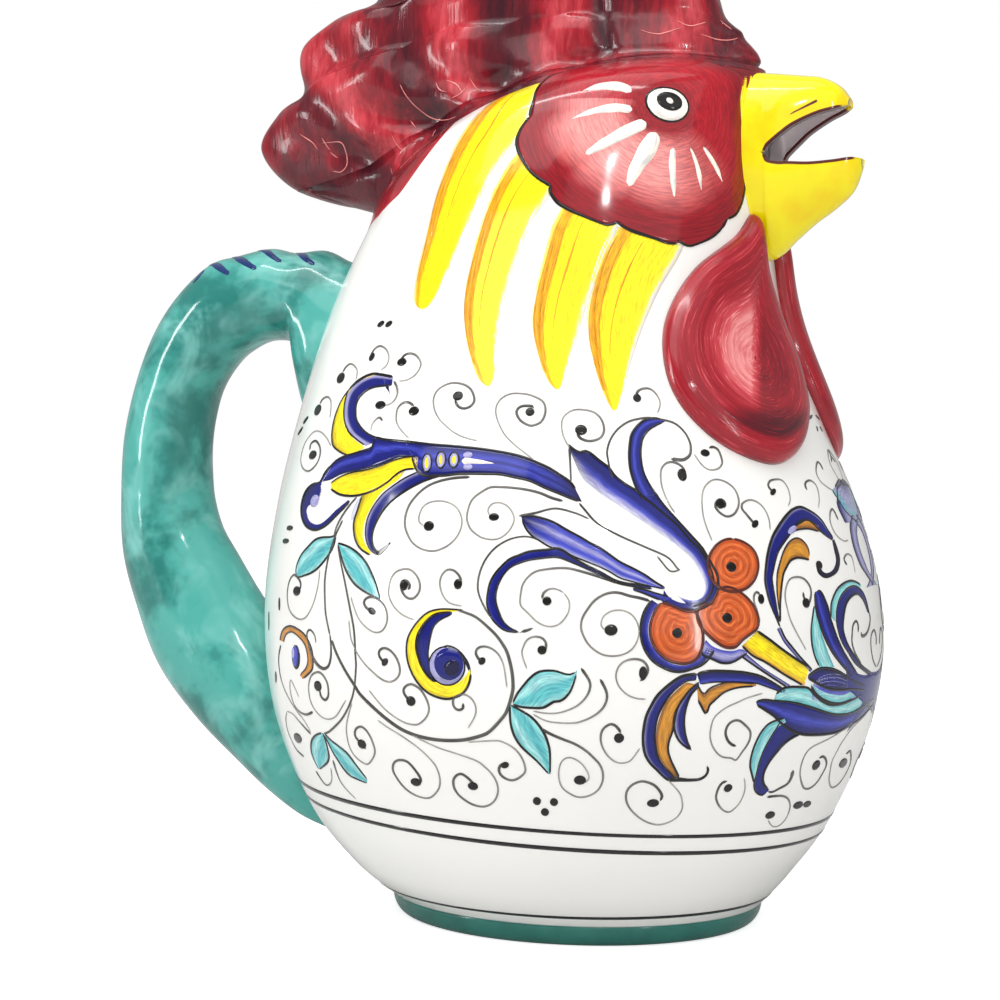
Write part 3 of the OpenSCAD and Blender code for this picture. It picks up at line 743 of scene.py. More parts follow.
# The flutes as the camera sees them, from the nape forward and up to the rim: ridges that the
# fingers left standing (1) and hollows between them (-1), with their widths in pixels. Their
# tone also colours the comb's glaze: pink where it wore thin on the ridges, and maroon in the
# hollows, which is painted shade.
FLUTES = [
    (-0.2, 22, "268 140 288 128 320 150 350 175"), (-0.6, 15, "300 168 325 184 352 196"),
    (-1.0, 14, "298 92 318 104 340 130 362 158 388 182"),
    (1.1, 24, "308 60 330 88 352 112 382 134 402 152"), (0.6, 20, "345 22 365 20 385 30"),
    (-1.2, 22, "385 -30 392 30 412 80 436 112"), (1.2, 24, "440 -110 444 0 452 50 462 84"),
    (-1.1, 28, "498 -110 500 0 502 40 505 70"), (1.2, 24, "562 -110 562 0 558 30 552 48"),
    (-1.3, 10, "592 -110 597 -20 601 20 607 46"), (-0.6, 24, "632 -110 634 -20 632 20"),
    (1.0, 26, "684 -80 684 0 680 34"), (-0.8, 20, "730 -60 732 0 728 44")]


def from_line(px, path):
    """Distance of each pixel place from a line of straight stretches: the shortest of the
    distances from its stretches."""
    path = pixels(path)
    nearest = np.full(px.shape[:-1], 1e9)
    for a, b in zip(path[:-1], path[1:]):
        f = np.clip(((px - a) @ (b - a)) / ((b - a) @ (b - a)), 0, 1)[..., None]
        nearest = np.minimum(nearest, np.linalg.norm(px - a - f * (b - a), axis=-1))
    return nearest


def seen_side(points):
    """The pixels of points, where those of the far side are read as their mirror images."""
    return seen(np.stack([points[..., 0], -np.abs(points[..., 1]), points[..., 2]], -1))


def flute(points):
    """Bell curves of a point's distance from each drawn line, ridges less hollows; the far
    side is the mirror image of the side that the camera sees."""
    px = seen_side(points)
    relief = sum(high * np.exp(-(from_line(px, path) / wide) ** 2) for high, wide, path in FLUTES)
    return np.clip(relief, -1.5, 1.5)


def comb_skin(u, v):
    """The comb's outer face at turn u and height v, 0 at the seat and 9 at the rim, raised
    on the ridges of its flutes and pressed in between them."""
    def plain(u, v):
        lift = np.maximum(0, (v / 9 - 0.8) / 0.2) ** 1.5
        return comb_point(through(all_rings, v), u, groove(np.cos(u), v), lift)
    p = plain(u, v)
    press = FLUTE_DEPTH * np.clip(v / 1.5, 0, 1) * np.clip((9 - v) / 1.2, 0, 1)
    return p + outward(plain, u, v) * (press * (flute(p) - 0.5))[..., None]


def reds(s, tone):
    """Red glaze by a tone that holds how thinly it was brushed on and the painted light and shade
    that each piece carries: maroon at 0, red in the middle, pink at 1.
    """
    return s.node("ValToRGB", {"stops": [
        (0.0, fired(58, 10, 24)), (0.25, fired(98, 14, 28)), (0.5, fired(156, 24, 38)),
        (0.75, fired(206, 68, 78)), (1.0, fired(244, 158, 156))]}, {0: tone})


def red_glaze(s):
    """Red glaze brushed on in streaks, worn to pink on the ridges, and maroon in the hollows as
    painted shade.
    """
    streaks = s.noise(60.0, 4.0, 0.6, 1.0, (3.0, 3.0, 0.5))
    fine = s.noise(420.0, 3.0, 0.6, 0.5, (2.0, 2.0, 0.4))
    flutes = s.node("Attribute", {"attribute_name": "tone"}, out=2)
    tone = 0.36 + 0.27 * flutes + 0.8 * (streaks - 0.5) + 0.35 * (fine - 0.5)
    return reds(s, tone), 0.17 + 0.10 * fine, 0.3 * streaks


COMB_SIDES = 420
comb_u = np.linspace(0, 2 * np.pi, COMB_SIDES, endpoint=False)
outer_rows = comb_skin(*np.meshgrid(comb_u, np.linspace(0, 9, 181)))
RIM = all_rings[-1]
bend = np.linspace(0, np.pi, 17)[1:]
rim_rows = [comb_point(lifted(inset(RIM, COMB_WALL * (1 - np.cos(b)) / 2),
                              COMB_WALL * 0.42 * np.sin(b)), comb_u,
                       groove(np.cos(comb_u), 9.0) * (1 + np.cos(b)) / 2, 1.0) for b in bend]
slot_top, slot_foot = inset(RIM, COMB_WALL), lifted(SLOT_RING, 0.1)
inner_rows = [comb_point(slot_top + (slot_foot - slot_top) * f, comb_u, 0 * comb_u, (1 - f) ** 2)
              for f in np.linspace(0, 1, 33)[1:]]
under_row = ring_point((SEAT + slot_foot) / 2, comb_u)
points = np.vstack([outer_rows, rim_rows, inner_rows, [under_row]])
streaky_red = glaze("streaky_red_glaze", red_glaze)
comb = piece("modelled_comb", points, grid_faces(len(points), COMB_SIDES, (True, True)),
             streaky_red, ["comb"])
# The flutes' tone colours the comb, with painted shade in its hollows
carry(comb, tone=flute(points).ravel())
# A fillet of slip runs up the head, over the crown's edge and up the comb, and down the nape
nape = np.exp(-((180 - np.abs((np.degrees(comb_u) + 180) % 360 - 180)) / 38) ** 2)
low = 10.6 - 1.7 * nape
rows = [BELLY.drape(np.stack([comb_u, low + (10.97 - low) * f], -1), 0 * comb_u + 0.1)
        for f in np.linspace(0, 1, 9)]
rows += [ring_point(lifted(CROWN + (SLOT_RING - CROWN) * f, 0.2), comb_u) for f in (0.01, 0.04)]
wall = [comb_skin(comb_u, 0.35 + (0.5 + nape) * f) for f in (0, 0.5, 1)]
rows += [p + (p - ring_point(lifted(SLOT_RING, p[:, 2].mean() - SLOT_RING[1]), comb_u))
         * (1, 1, 0) * 0.006 for p in wall]
foot = [rows[-1] - (0, 0, 0.9), rows[9] - (0, 0, 0.9), rows[0] - (0, 0, 0.9)]
points = np.stack(rows + [p * (0.97, 0.95, 1) for p in foot], 1)
fillet = piece("comb_fillet", points,
               grid_faces(COMB_SIDES, points.shape[1], (True, True))[:, ::-1],
               streaky_red)
# The fillet takes the flutes' tone 0.3 darker, painted shade in the hollows included
carry(fillet, tone=(flute(points) - 0.3).ravel())
# Thin pale scratches where the wet glaze crawled
CREST = Ground(comb_skin, np.radians(np.arange(-178.0, 30.0, 3.0)), np.linspace(0, 9, 110))
for path in """
322 143 340 142 346 152 347 165 341 172 333 171 / 300 134 312 142 318 150 / 322 138 330 150 / 392
135 398 146 408 152 420 153 433 147 / 420 148 427 146 432 139 436 130 / 360 198 371 196 379 190
390 187 393 178 391 168 / 400 84 408 98 420 110 432 118 446 120 458 116 / 436 82 440 90 447 92 /
446 80 456 84 462 92 / 452 98 460 94 466 88 / 470 78 476 88 480 92 / 330 152 338 158 / 410 120
416 128 / 372 190 378 198 / 640 30 660 34 682 28 / 676 20 690 26 706 22 / 700 34 720 40 738 38 /
720 20 732 30""".split("/"):
    line("comb_scratches", path, (0.5, 1.1, 0.6), fired(232, 140, 138), lift=0.12, on=CREST)
paint("red_glaze")

# The beak: two modelled halves that part in front, bright yellow outside, with the pouring
# channel between them.
BEAK_YELLOW, DEEP_YELLOW = fired(252, 236, 6), fired(250, 214, 4)
# The first colour is painted shade: the white glaze inside the mouth, greyed as if in shadow; the
# second is the brown of the lip line
MOUTH_SHADE_GREY, LIP_BROWN = fired(232, 222, 224), fired(92, 30, 28)
NOSTRIL = "790 114 803 107.5 816 101"
BEAK_ROWS, ARCH, LIP = 120, 101, 4.0
# reach x, top or keel z, edge z, half width
UPPER_BEAK = np.array([[39.6, 208.2, 187.7, 13.5], [44.7, 207.8, 187.7, 12.7],
                       [46.2, 207.7, 189.4, 12.5], [49.0, 207.4, 192.0, 11.9],
                       [52.1, 207.1, 194.5, 10.8], [57.1, 206.5, 197.2, 8.6],
                       [61.2, 204.5, 198.7, 6.2], [63.6, 201.6, 199.7, 3.0]])
LOWER_BEAK = np.array([[39.6, 162.6, 187.6, 13.5], [44.7, 162.9, 187.6, 12.7],
                       [46.2, 163.0, 186.0, 12.4], [48.6, 164.6, 185.5, 11.4],
                       [51.1, 167.2, 185.6, 10.5], [55.9, 171.5, 185.6, 9.2],
                       [61.0, 175.3, 186.2, 7.6], [65.0, 179.3, 187.0, 5.4],
                       [67.0, 184.5, 187.0, 2.2]])


def beak_surface(rings, side, power, channel):
    """Rows of points along the beak: an arch outside, whose width goes with a power of the
    cosine and whose height goes with a power of the sine, then back round the channel, which
    closes just before the tip."""
    v = np.linspace(0, len(rings) - 1, BEAK_ROWS)[:, None]
    r = through(rings, v[:, 0])[:, None, :]
    a = (1 - np.cos(np.linspace(0, np.pi, ARCH)[None, :])) * np.pi / 2
    far = r[..., 1] - r[..., 2]
    c, s = np.cos(a), np.sin(a)
    y = r[..., 3] * np.sign(c) * np.abs(c) ** min(power, 1)
    z = r[..., 2] + far * s ** power
    inner_w = np.maximum(r[..., 3] - LIP, r[..., 3] * 0.3)
    closing = np.clip((len(rings) - 1 - v) / 0.7, 0, 1)
    inner_h = np.minimum(channel, np.abs(far) * 0.6) * side * closing
    y = np.concatenate([y, (inner_w * c)[:, ::-1]], 1)
    z = np.concatenate([z, (r[..., 2] + inner_h * s)[:, ::-1]], 1)
    x = np.maximum(r[..., 0] + 0 * y, skin_x(y, z, 1) + 0.05)
    return np.stack([x, y, z], -1)


def yellow_glaze(s):
    """Bright yellow glaze, a little deeper where the brush left more, with a brown line along
    the lips, and grey inside the mouth that is painted shade on the white glaze there."""
    colour = s.noise(70.0).between(0.45, 0.75).mix(BEAK_YELLOW, DEEP_YELLOW)
    inside, lip = (s.node("Attribute", {"attribute_name": name}, out=2)
                   for name in ("inside", "lip"))
    colour = inside.between(0.3, 0.7).mix(colour, MOUTH_SHADE_GREY)
    return lip.between(0.35, 0.75).mix(colour, LIP_BROWN), 0.12, 0.1 * s.noise(120.0)


yellow = glaze("beak_yellow_glaze", yellow_glaze)
for name, rings, side, power, channel in (
        ("upper_beak_half", UPPER_BEAK, 1, 0.75, 7.0),
        ("lower_beak_half", LOWER_BEAK, -1, 1.25, 5.9)):
    points = beak_surface(rings, side, power, channel)
    rows, columns = points.shape[:2]
    faces = grid_faces(rows, columns, (False, True))
    k = np.arange(columns // 2 - 1)
    end = np.stack([k, k + 1, columns - 2 - k, columns - 1 - k], -1)
    faces = np.vstack([faces[:, ::-1], end[:, ::-1], end + (rows - 1) * columns])
    if side < 0:
        faces = faces[:, ::-1]
    made = piece(name, points, faces, yellow, [name.replace("_half", "")])
    column = np.broadcast_to(np.arange(columns), (rows, columns))
    x, z = points[..., 0], points[..., 2]
    edge = through(rings, np.linspace(0, len(rings) - 1, rows))[:, None, 2]
    near_edge = np.clip(1.7 - np.abs(z - edge) / (0.5 - 0.12 * side), 0, 1)
    px = seen_side(points)
    nostril = 1.25 - from_line(px, NOSTRIL) / (0.6 + (px[..., 0] - 785) / 22)
    nostril = np.clip(nostril, 0, 1) * (px[..., 0] > 788) * (column < ARCH) * (side > 0)
    # The grey painted shade inside and the lip line stop just before the tip, and the line at the
    # mouth's corner
    behind_tip = np.clip((x.max() - x) / 1.2 - 0.8, 0, 1)
    on_lip = near_edge * np.clip((x - 44.9) / 0.8, 0, 1) * (0.45 + 0.55 * behind_tip)
    carry(made, inside=((column >= ARCH) * behind_tip).ravel(),
          lip=np.maximum(on_lip, nostril).ravel())
# The same yellow is painted on the head round the beak's root, up to the cheek
leaf("beak_collar",
     "742 76 741 90 740 120 742 142 745 160 750 184 758 200 766 213 773 230 779 252",
     "768 72 765 88 753 108 750 120 750 142 751 160 754 178 758 187 768 197 776 205 781 215"
     " 783 230 784 252",
     [BEAK_YELLOW, BEAK_YELLOW], lift=0.07)
paint("yellow_glaze")

# The wattles: two teardrop pads of clay laid on the breast, thick at the rim and pressed
# hollow in the middle by a thumb, under red glaze brushed round and round.
WATTLE_T, WATTLE_HOLLOW = 5.5, 0.5
# degrees round from the beak, and ring of the body
WATTLE_OUTLINE = np.array([
    [-12, 8.00], [-10.5, 7.55], [-7, 7.05], [-5, 6.55], [-8, 6.10], [-14, 5.78], [-22, 5.58],
    [-30, 5.54], [-40, 5.72], [-47, 6.08], [-48.5, 6.50], [-45.5, 6.97], [-36.5, 7.42],
    [-21, 7.76]])
WATTLE_MIDDLE = np.array([-25.0, 6.5])
FOLD_PX = 757


def wattle_place(around, t):
    """Turn and ring of the body under the wattle, t of the way from its middle to its rim."""
    loop = np.vstack([WATTLE_OUTLINE] * 3)
    rim = through(loop, len(WATTLE_OUTLINE) * (1 + around))
    place = WATTLE_MIDDLE + (rim - WATTLE_MIDDLE) * t[..., None]
    return np.radians(place[..., 0]), place[..., 1]


def wattle_surface(around, t, side):
    """The pad's top: its thickness falls to nothing at the rim as a root of 1 - t^6, less a
    bell-shaped hollow in the middle."""
    u, v = wattle_place(around, t)
    height = 0.05 + WATTLE_T * np.sqrt(np.maximum(0, 1 - t ** 6))
    height = height - WATTLE_T * WATTLE_HOLLOW * np.exp(-(t / 0.55) ** 2)
    p = skin(u, v) + outward(skin, u, v) * height[..., None]
    return p * np.array([1, side, 1])


def wattle_glaze(s):
    """Red glaze drawn round the pad in long strokes of the brush, on the tone that each point
    carries: thin and pink in the hollow, with painted light and shade on either side of its fold.
    """
    place = s.node("UVMap")
    strokes, hairs = (s.node("TexNoise", {}, {
        "Vector": s.node("Mapping", {}, {0: place, 3: stretch}), "Scale": 1.0, "Detail": 4.0,
        "Roughness": 0.6, "Distortion": bend})
        for stretch, bend in (((0.035, 0.7, 1.0), 0.3), ((0.09, 2.6, 1.0), 0.2)))
    tone = s.node("Attribute", {"attribute_name": "tone"}, out=2)
    tone = tone + 0.5 * (strokes - 0.5) + hairs.between(0.56, 0.66) * 0.25
    return reds(s, tone), 0.10 + 0.12 * strokes, 0.25 * strokes


wattle_red = glaze("wattle_red_glaze", wattle_glaze)
around = np.linspace(0, 1, 160, endpoint=False)
reach = np.concatenate([np.linspace(0.02, 0.9, 45), np.linspace(0.91, 1, 20)])
grid_t, grid_a = np.meshgrid(reach, around, indexing="ij")
for name, side in (("wattle_right", 1), ("wattle_left", -1)):
    top = wattle_surface(grid_a, grid_t, side)
    u, v = wattle_place(grid_a[::-8], grid_t[::-8] * 0.985)
    base = (skin(u, v) + outward(skin, u, v) * 0.02) * np.array([1, side, 1])
    points = np.vstack([top, base])
    rows, columns = points.shape[:2]
    faces = np.vstack([grid_faces(rows, columns, (False, True)), end_fans(rows, columns)])
    points = np.vstack([points.reshape(-1, 3), top[0].mean(0), base[-1].mean(0)])
    pad = piece(name + "_pad", points, flipped(faces) if side > 0 else faces, wattle_red,
                [name])
    # Pink in the hollow, partly thin glaze and partly painted light, as it shows only on the near
    # side of the fold that runs down it; deep red beyond the fold is painted shade, and the pad
    # grows darker towards its bottom
    px = seen_side(top)
    fold_lit_side = np.clip((FOLD_PX - px[..., 0]) / 12 + 0.5, 0, 1)
    hollow = np.clip((0.66 - grid_t) / 0.3, 0, 1) * np.clip((px[..., 1] - 255) / 60, 0, 1)
    deep = np.clip((px[..., 1] - 405) / 18, 0, 1) * np.clip((0.86 - grid_t) / 0.1, 0, 1)
    tone = 0.48 + hollow * fold_lit_side * 0.42 - hollow * (1 - fold_lit_side) * 0.12 - deep * 0.36
    tone = np.concatenate([tone.ravel(), np.full(len(points) - tone.size, 0.3)])
    place = np.stack([grid_a * 150, grid_t * 24], -1).reshape(-1, 2)
    place = np.vstack([place, np.zeros((len(tone) - len(place), 2))])
    carry(pad, tone=tone, UVMap=place)

# The painted face: on each side a cheek of red glaze brushed in circles round the eye,
# scalloped and outlined in black, with white rays and a white eye, and a red band that runs
# round the head under the comb.
RED, DEEP_RED, PINK = fired(170, 28, 42), fired(118, 16, 28), fired(244, 156, 154)
CHALK = fired(252, 248, 240)
EYE_PX = (667.0, 104.0)
BAND = """
372 230 378 217 390 203 400 193 418 168 437 143 450 128 462 117 480 104 500 97 520 88 540 80
565 76 600 70 650 66 700 70 735 82 752 92"""
CHEEK_RIM = """
741 78 740 100 741 120 743 145 745 165 745 185 742 202 736 214 728 219 724 227 714 235 702 242
690 246 682 243 677 243 668 242 655 239 640 234 628 229 618 222 608 224 594 220 578 214 565 207
555 200 551 191 549 184 538 178 530 170 523 159 518 147 518 136 524 124 531 116 533 104 537 91
546 80 560 70 580 60 610 52 650 50 690 56 720 66"""


def disc(rim, middle, sides, hub, rings):
    """A disc drawn on the skin: the places of its smooth rim, the shares of the way out from
    its middle at which its rings lie, and the places of the rings."""
    rim = BELLY.under_pencil(pixels(rim))
    middle = BELLY.under_pencil(np.array([middle], float))[0]
    rim = through(np.vstack([rim] * 3), len(rim) + np.linspace(0, len(rim), sides, endpoint=False))
    t = np.linspace(hub, 1, rings)
    return rim, t, middle + (rim - middle)[:, None] * t[None, :, None]


rim_place, t, place = disc(CHEEK_RIM, EYE_PX, 300, 0.04, 56)
bearing = seen(BELLY.drape(rim_place, np.zeros(len(rim_place)))) - EYE_PX
bearing = np.degrees(np.arctan2(-bearing[:, 1], bearing[:, 0]))[:, None]
# Pink shows below and to the left of the eye, halfway out, and the red deepens outside
rosy = np.clip(1.75 - np.abs(bearing + 128) / 46, 0, 1)
rosy = rosy * np.clip((t - 0.24) / 0.14, 0, 1) * np.clip((0.84 - t) / 0.2, 0, 1)
dark = np.clip((t - 0.72) / 0.2, 0, 1) * 0.7 + np.clip((0.34 - t) / 0.1, 0, 1) * 0.5 + 0 * bearing
colour = np.array(RED) * (1 - dark[..., None]) + np.array(DEEP_RED) * dark[..., None]
colour = colour * (1 - rosy[..., None] * 0.9) + np.array(PINK) * rosy[..., None] * 0.9
layer("painted_cheek", place, colour, 0.13, closed=True)
strokes("cheek_lines", """
0.8 2.6 2.2 3 | 565 67 556 72 548 77 541 84 536 92 534 100 531 110 530 117 /
2.4 3 2.6 3.2 | 530 117 525 123 520 131 517 140 518 150 523 161 530 171 538 178 546 183 551 186 /
3 3.4 2.4 2.2 | 551 185 550 191 553 197 558 203 566 208 576 213 588 218 598 222 607 225 617 223 /
1.8 3.4 2.6 2 | 616 221 622 226 632 231 644 235 656 239 667 243 677 244 /
2.4 1.8 2.6 | 677 240 683 244 690 246 700 243 711 238 719 231 725 222 727 219 /
2.2 2.6 2 | 727 219 735 215 740 207 743 197 745 183 745 168 744 155 742 143""", lift=0.18)
# White rays, each from its outer tip to its root by the eye
strokes("cheek_rays", """
0.8 8 11 8 | 583 91 598 87 612 86 624 88 631 92 /
0.8 6 9 8 | 572 119 585 114 600 110 617 108 632 110 /
5 10 12 11 | 586 154 600 146 618 136 634 128 646 123 /
7 13 17 13 | 629 186 634 172 642 158 650 145 656 133 /
2 6 7 5 | 674 197 673 180 672 162 673 148 /
1 5 4 2 | 701 190 699 175 695 160 690 148 /
0.8 5 5 3 | 722 182 716 168 709 156 703 147""", CHALK, lift=0.16)
# The eye: a black rim, its white, the black pupil, and a white glint on the pupil that is a
# painted highlight
for x, y, length, width, angle, colour, lift in (
        (667, 103.5, 45, 36, -12, INK, 0.17), (667.3, 103.7, 41, 32, -12, CHALK, 0.21),
        (669.3, 101.2, 26, 18.5, -14, INK, 0.25), (669.5, 101, 5, 7, 60, CHALK, 0.29)):
    dot("painted_eye", x, y, length, width, angle, colour, lift=lift)
# Red drawn up under the comb, from the nape to the beak
low = BELLY.pencil(BAND, 2.0)[0][2:]
f = np.linspace(0, 0.9, 10)[:, None]
low = np.vstack([low[0] * f + np.array([-np.pi, low[0, 1] - 0.1]) * (1 - f), low,
                 low[-1] * np.hstack([1 - f - 0.1, 1 + 0 * f])])
high = np.stack([low[:, 0], np.full(len(low), float(TOP) - 0.01)], -1)
s = np.linspace(0, 1, 34)[None, :, None]
place = low[:, None] * (1 - s) + high[:, None] * s
colour = blend([RED, DEEP_RED], np.clip(3 * s[..., 0] + 0 * place[..., 0], 0, 1))
layer("red_band", place, colour, 0.08)
paint()

# The hackle: four long feathers a side, each laid down in a stroke of bright yellow with
# orange run along its left edge, soft where the wet colour met the glaze.
YELLOW, PALE_YELLOW, ORANGE = fired(252, 236, 20), fired(250, 242, 90), fired(228, 158, 14)
FEATHERS = [
    ("538 78 500 97 470 122 450 155 437 190 427 230 417 270 414 300 420 310",
     "545 80 532 112 519 140 506 155 494 172 478 204 464 236 450 268 437 296 424 312"),
    ("517 152 504 169 490 197 478 232 470 264 465 292 464 320 468 350 478 378 489 388",
     "553 188 546 202 532 222 520 252 507 290 499 325 496 352 495 374 490 388"),
    ("562 204 551 225 543 255 535 290 532 325 538 358 547 380 558 392",
     "618 226 610 248 599 275 587 305 578 335 569 362 563 382 559 392"),
    ("615 226 601 250 590 285 586 318 590 350 597 378 606 400 614 413",
     "684 246 676 262 662 285 650 310 640 335 631 362 624 390 616 413")]
for left, right in FEATHERS:
    leaf("hackle_feathers", left, right,
         [PALE_YELLOW, ORANGE, YELLOW, YELLOW, YELLOW, YELLOW, PALE_YELLOW],
         cover=(0.2, 1.3, 1.3, 1.2, 1.2, 0.9, 0.1), fade=(0.0, 2.5), columns=15, lift=0.03)
    edges = [BELLY.pencil(edge) for edge in (left, right)]
    # Orange strokes, each at its own share of the feather's width
    for share, widths in ((0.10, (1, 4, 7, 2)), (0.22, (1, 3, 2, 1)), (0.45, (0.5, 2, 1, 0.5))):
        a, b = at_shares(edges, np.linspace(0.04, 0.93 - share / 2, 14))
        line("feather_strokes", a * (1 - share) + b * share, widths, ORANGE, lift=0.05)
paint()

# The scrollwork: leaves in cobalt, turquoise and yellow round three orange berries, and a
# lace of thin curls, each ending in a drop of ink, spread over both sides of the belly.
PALETTE = {
    "cobalt": fired(14, 22, 116), "deep": fired(6, 6, 56), "violet": fired(58, 68, 184),
    "lilac": fired(158, 158, 206), "pale_lilac": fired(214, 218, 238), "night": fired(16, 14, 60),
    "yellow": fired(250, 226, 28), "olive": fired(176, 160, 34), "ochre": fired(204, 142, 46),
    "brown": fired(140, 86, 40), "umber": fired(60, 36, 26), "turquoise": fired(88, 182, 190),
    "pale_turquoise": fired(162, 220, 222), "ink": INK}


def curls(text, start=2.6, end=1.3):
    """Curls of the pen: each is a drop of ink (x, y, length, width, angle), which may be left
    out, a bar, and the path of a line that leaves the drop dark and wide and ends pale and
    thin, and there is a slash after each."""
    for entry in text.split("/"):
        drop, path = entry.split("|")
        group = "upper_curls" if float(path.split()[1]) < 590 else "lower_curls"
        if drop.strip():
            dot(group, *(float(n) for n in drop.split()))
        line(group, path, (start, (start + end) / 2 + 0.2, end + 0.3, end, end),
             tone=(0.96, 0.86, 0.74, 0.66, 0.62))


# Curls over the upper left of the belly
curls("""
372 357 9 7 60 | 370 358 374 350 380 346 386 349 389 356 387 365 381 370 /
341 378 7 11 0 | 343 372 347 366 352 364 357 369 357 375 356 380 /
402 362 9 8 0 | 401 360 405 355 411 353.5 417 356 421 363 419 370 414 376 407 380 399 381 /
318 410 6 11 0 | 320 404 323 399 328 397 331 401 331 410 330 418 /
313 455 7 9 0 | 310 450 311 444 316 441 320 447 320 456 316 465 309 471 303 468 301 459 304 446
309 437 315 431.5 321 432 327 438 331 446 /
414 411 10 9 0 | 414 406 409 402.5 403 403 398 408 396.5 415 397 423 402 431 409 438 /
| 382.5 421 380 417.5 376 419.5 372 425 371 431 /
458 396 10 9 0 | 455 400 458 406 464 408.5 471 406 474.5 400 472 391 466 385.5 457 383 448 384
439 389 434 397 434 407 438 417 445 425 455 433 465 437.5 478 441 /
380.6 405 10 8 0 | 394 381 397 387 397.5 394 394 401 389 404.5 384 405 /
429 526 10 9 0 | 470 477 455 478 440 481 428 486 418 494 410 504 406 514 405 525 408 535 413 543
421 548.5 431 551 440 549.5 450 544 458 535 462 523 460 513 455 506 447 502 439 501 431 502 424
506 420 513 419 521 424 526 /
494 517 10 7 0 | 563 501 552 498 540 493 528 490 515 488 500 487 490 487.5 480 493 472 500 468
510 467 519 470 528 476 534 483 538 493 539.5 501 537.5 508 532 513 524 514 517 511 510 506 505
499 502.5 492 504 488 510 490 516 /
530 412 9 8 0 | 534 408 531 406 521 406.5 516.5 412 520 420 528 425 533 425.5 541 422 545 414 545
406 541 400 530 395 520 393.5 510 394 501 399 496.5 406 496 414 499 424 505 435 515 445 525 453
534 460 /
581 430 12 10 0 | 577 432 580 438 588 441 596 440 602 436 604 428 601 419 595 413 588 410.5 577
409.5 569 412 563 418 561.5 426 563 435 566 442 570 448 /
637 398 8 8 0 | 636 396 638 391 644 388.5 650 389 656 394 660 402 659 409 657 413 /
682 475 9 12 0 | 683 478 685 473 682 467 677 463.5 671 462 665 464 661 470 661 482 664 493 669
504 675 513""")
# Curls at the right, towards the breast
curls("""
705 453 9 7 0 | 709 448 713 447 718 450 721 457 722 463 719 468 713 470 707 469 701 464 694 454 /
720 504 9 9 0 | 724 508 725 503 721 499.5 717 501 715 506 718 511 723 515 728 516.5 734 514 738
507 738.5 499 735 490 729 484 722 480.5 715 479.5 709 482 704 488 702 496 702 505 703 515 706 526
712 541 /
755 524 8 6 50 | 755 525 751 520 746 514 742 509 742 504 746 501 751 500 757 502 762 506 766 512
769 520 770 530 /
773 492 7 5 50 | 774 493 770 489 768 485 770 481 775 479.5 781 480 786 485 789 492 790 500 788
506 /
| 807 490 805 486 806 482 810 480.5 815 484 818 491 819 500 818 508 /
| 823 470 820 464 817 462.5 816 472 820 481 827 487 832 490 /
| 835 462 831 456 828 450 828 456 831 466 840 482 /
| 838 520 835 513 832 509 830 513 830 521 833 530 838 537 844 541 848 540 /
| 847 565 844 560 845 556 848 554 852 558 855 573 /
761 599 6 9 0 | 760 595 757 592 754 595 754 602 757 610 760 622 /
806 603 7 9 0 | 803 592 804 598 808 603 810 600 811 592 809 585 804 579 797 577 790 579 786 587
785 597 787 608 790 619 795 630 801 641 806 650 /
770 815 9 8 0 | 767 797 775 796 783 796 788 799 790 806 788 814 784 821 778 826 772 826 768 820 /
816 765 7 10 0 | 819 758 823 756.5 826 760 826 766 822 774 817 782 810 788 804 788 801 781 800
772 802 762 806 753 812 747 820 743 830 738 840 732 853 722 /
843 763 7 10 0 | 846 754 850 751 851 756 850 764 846 773 841 781 836 786 831 787 829 780 830 771
832 761 837 751 842 742 853 727 866 714""")
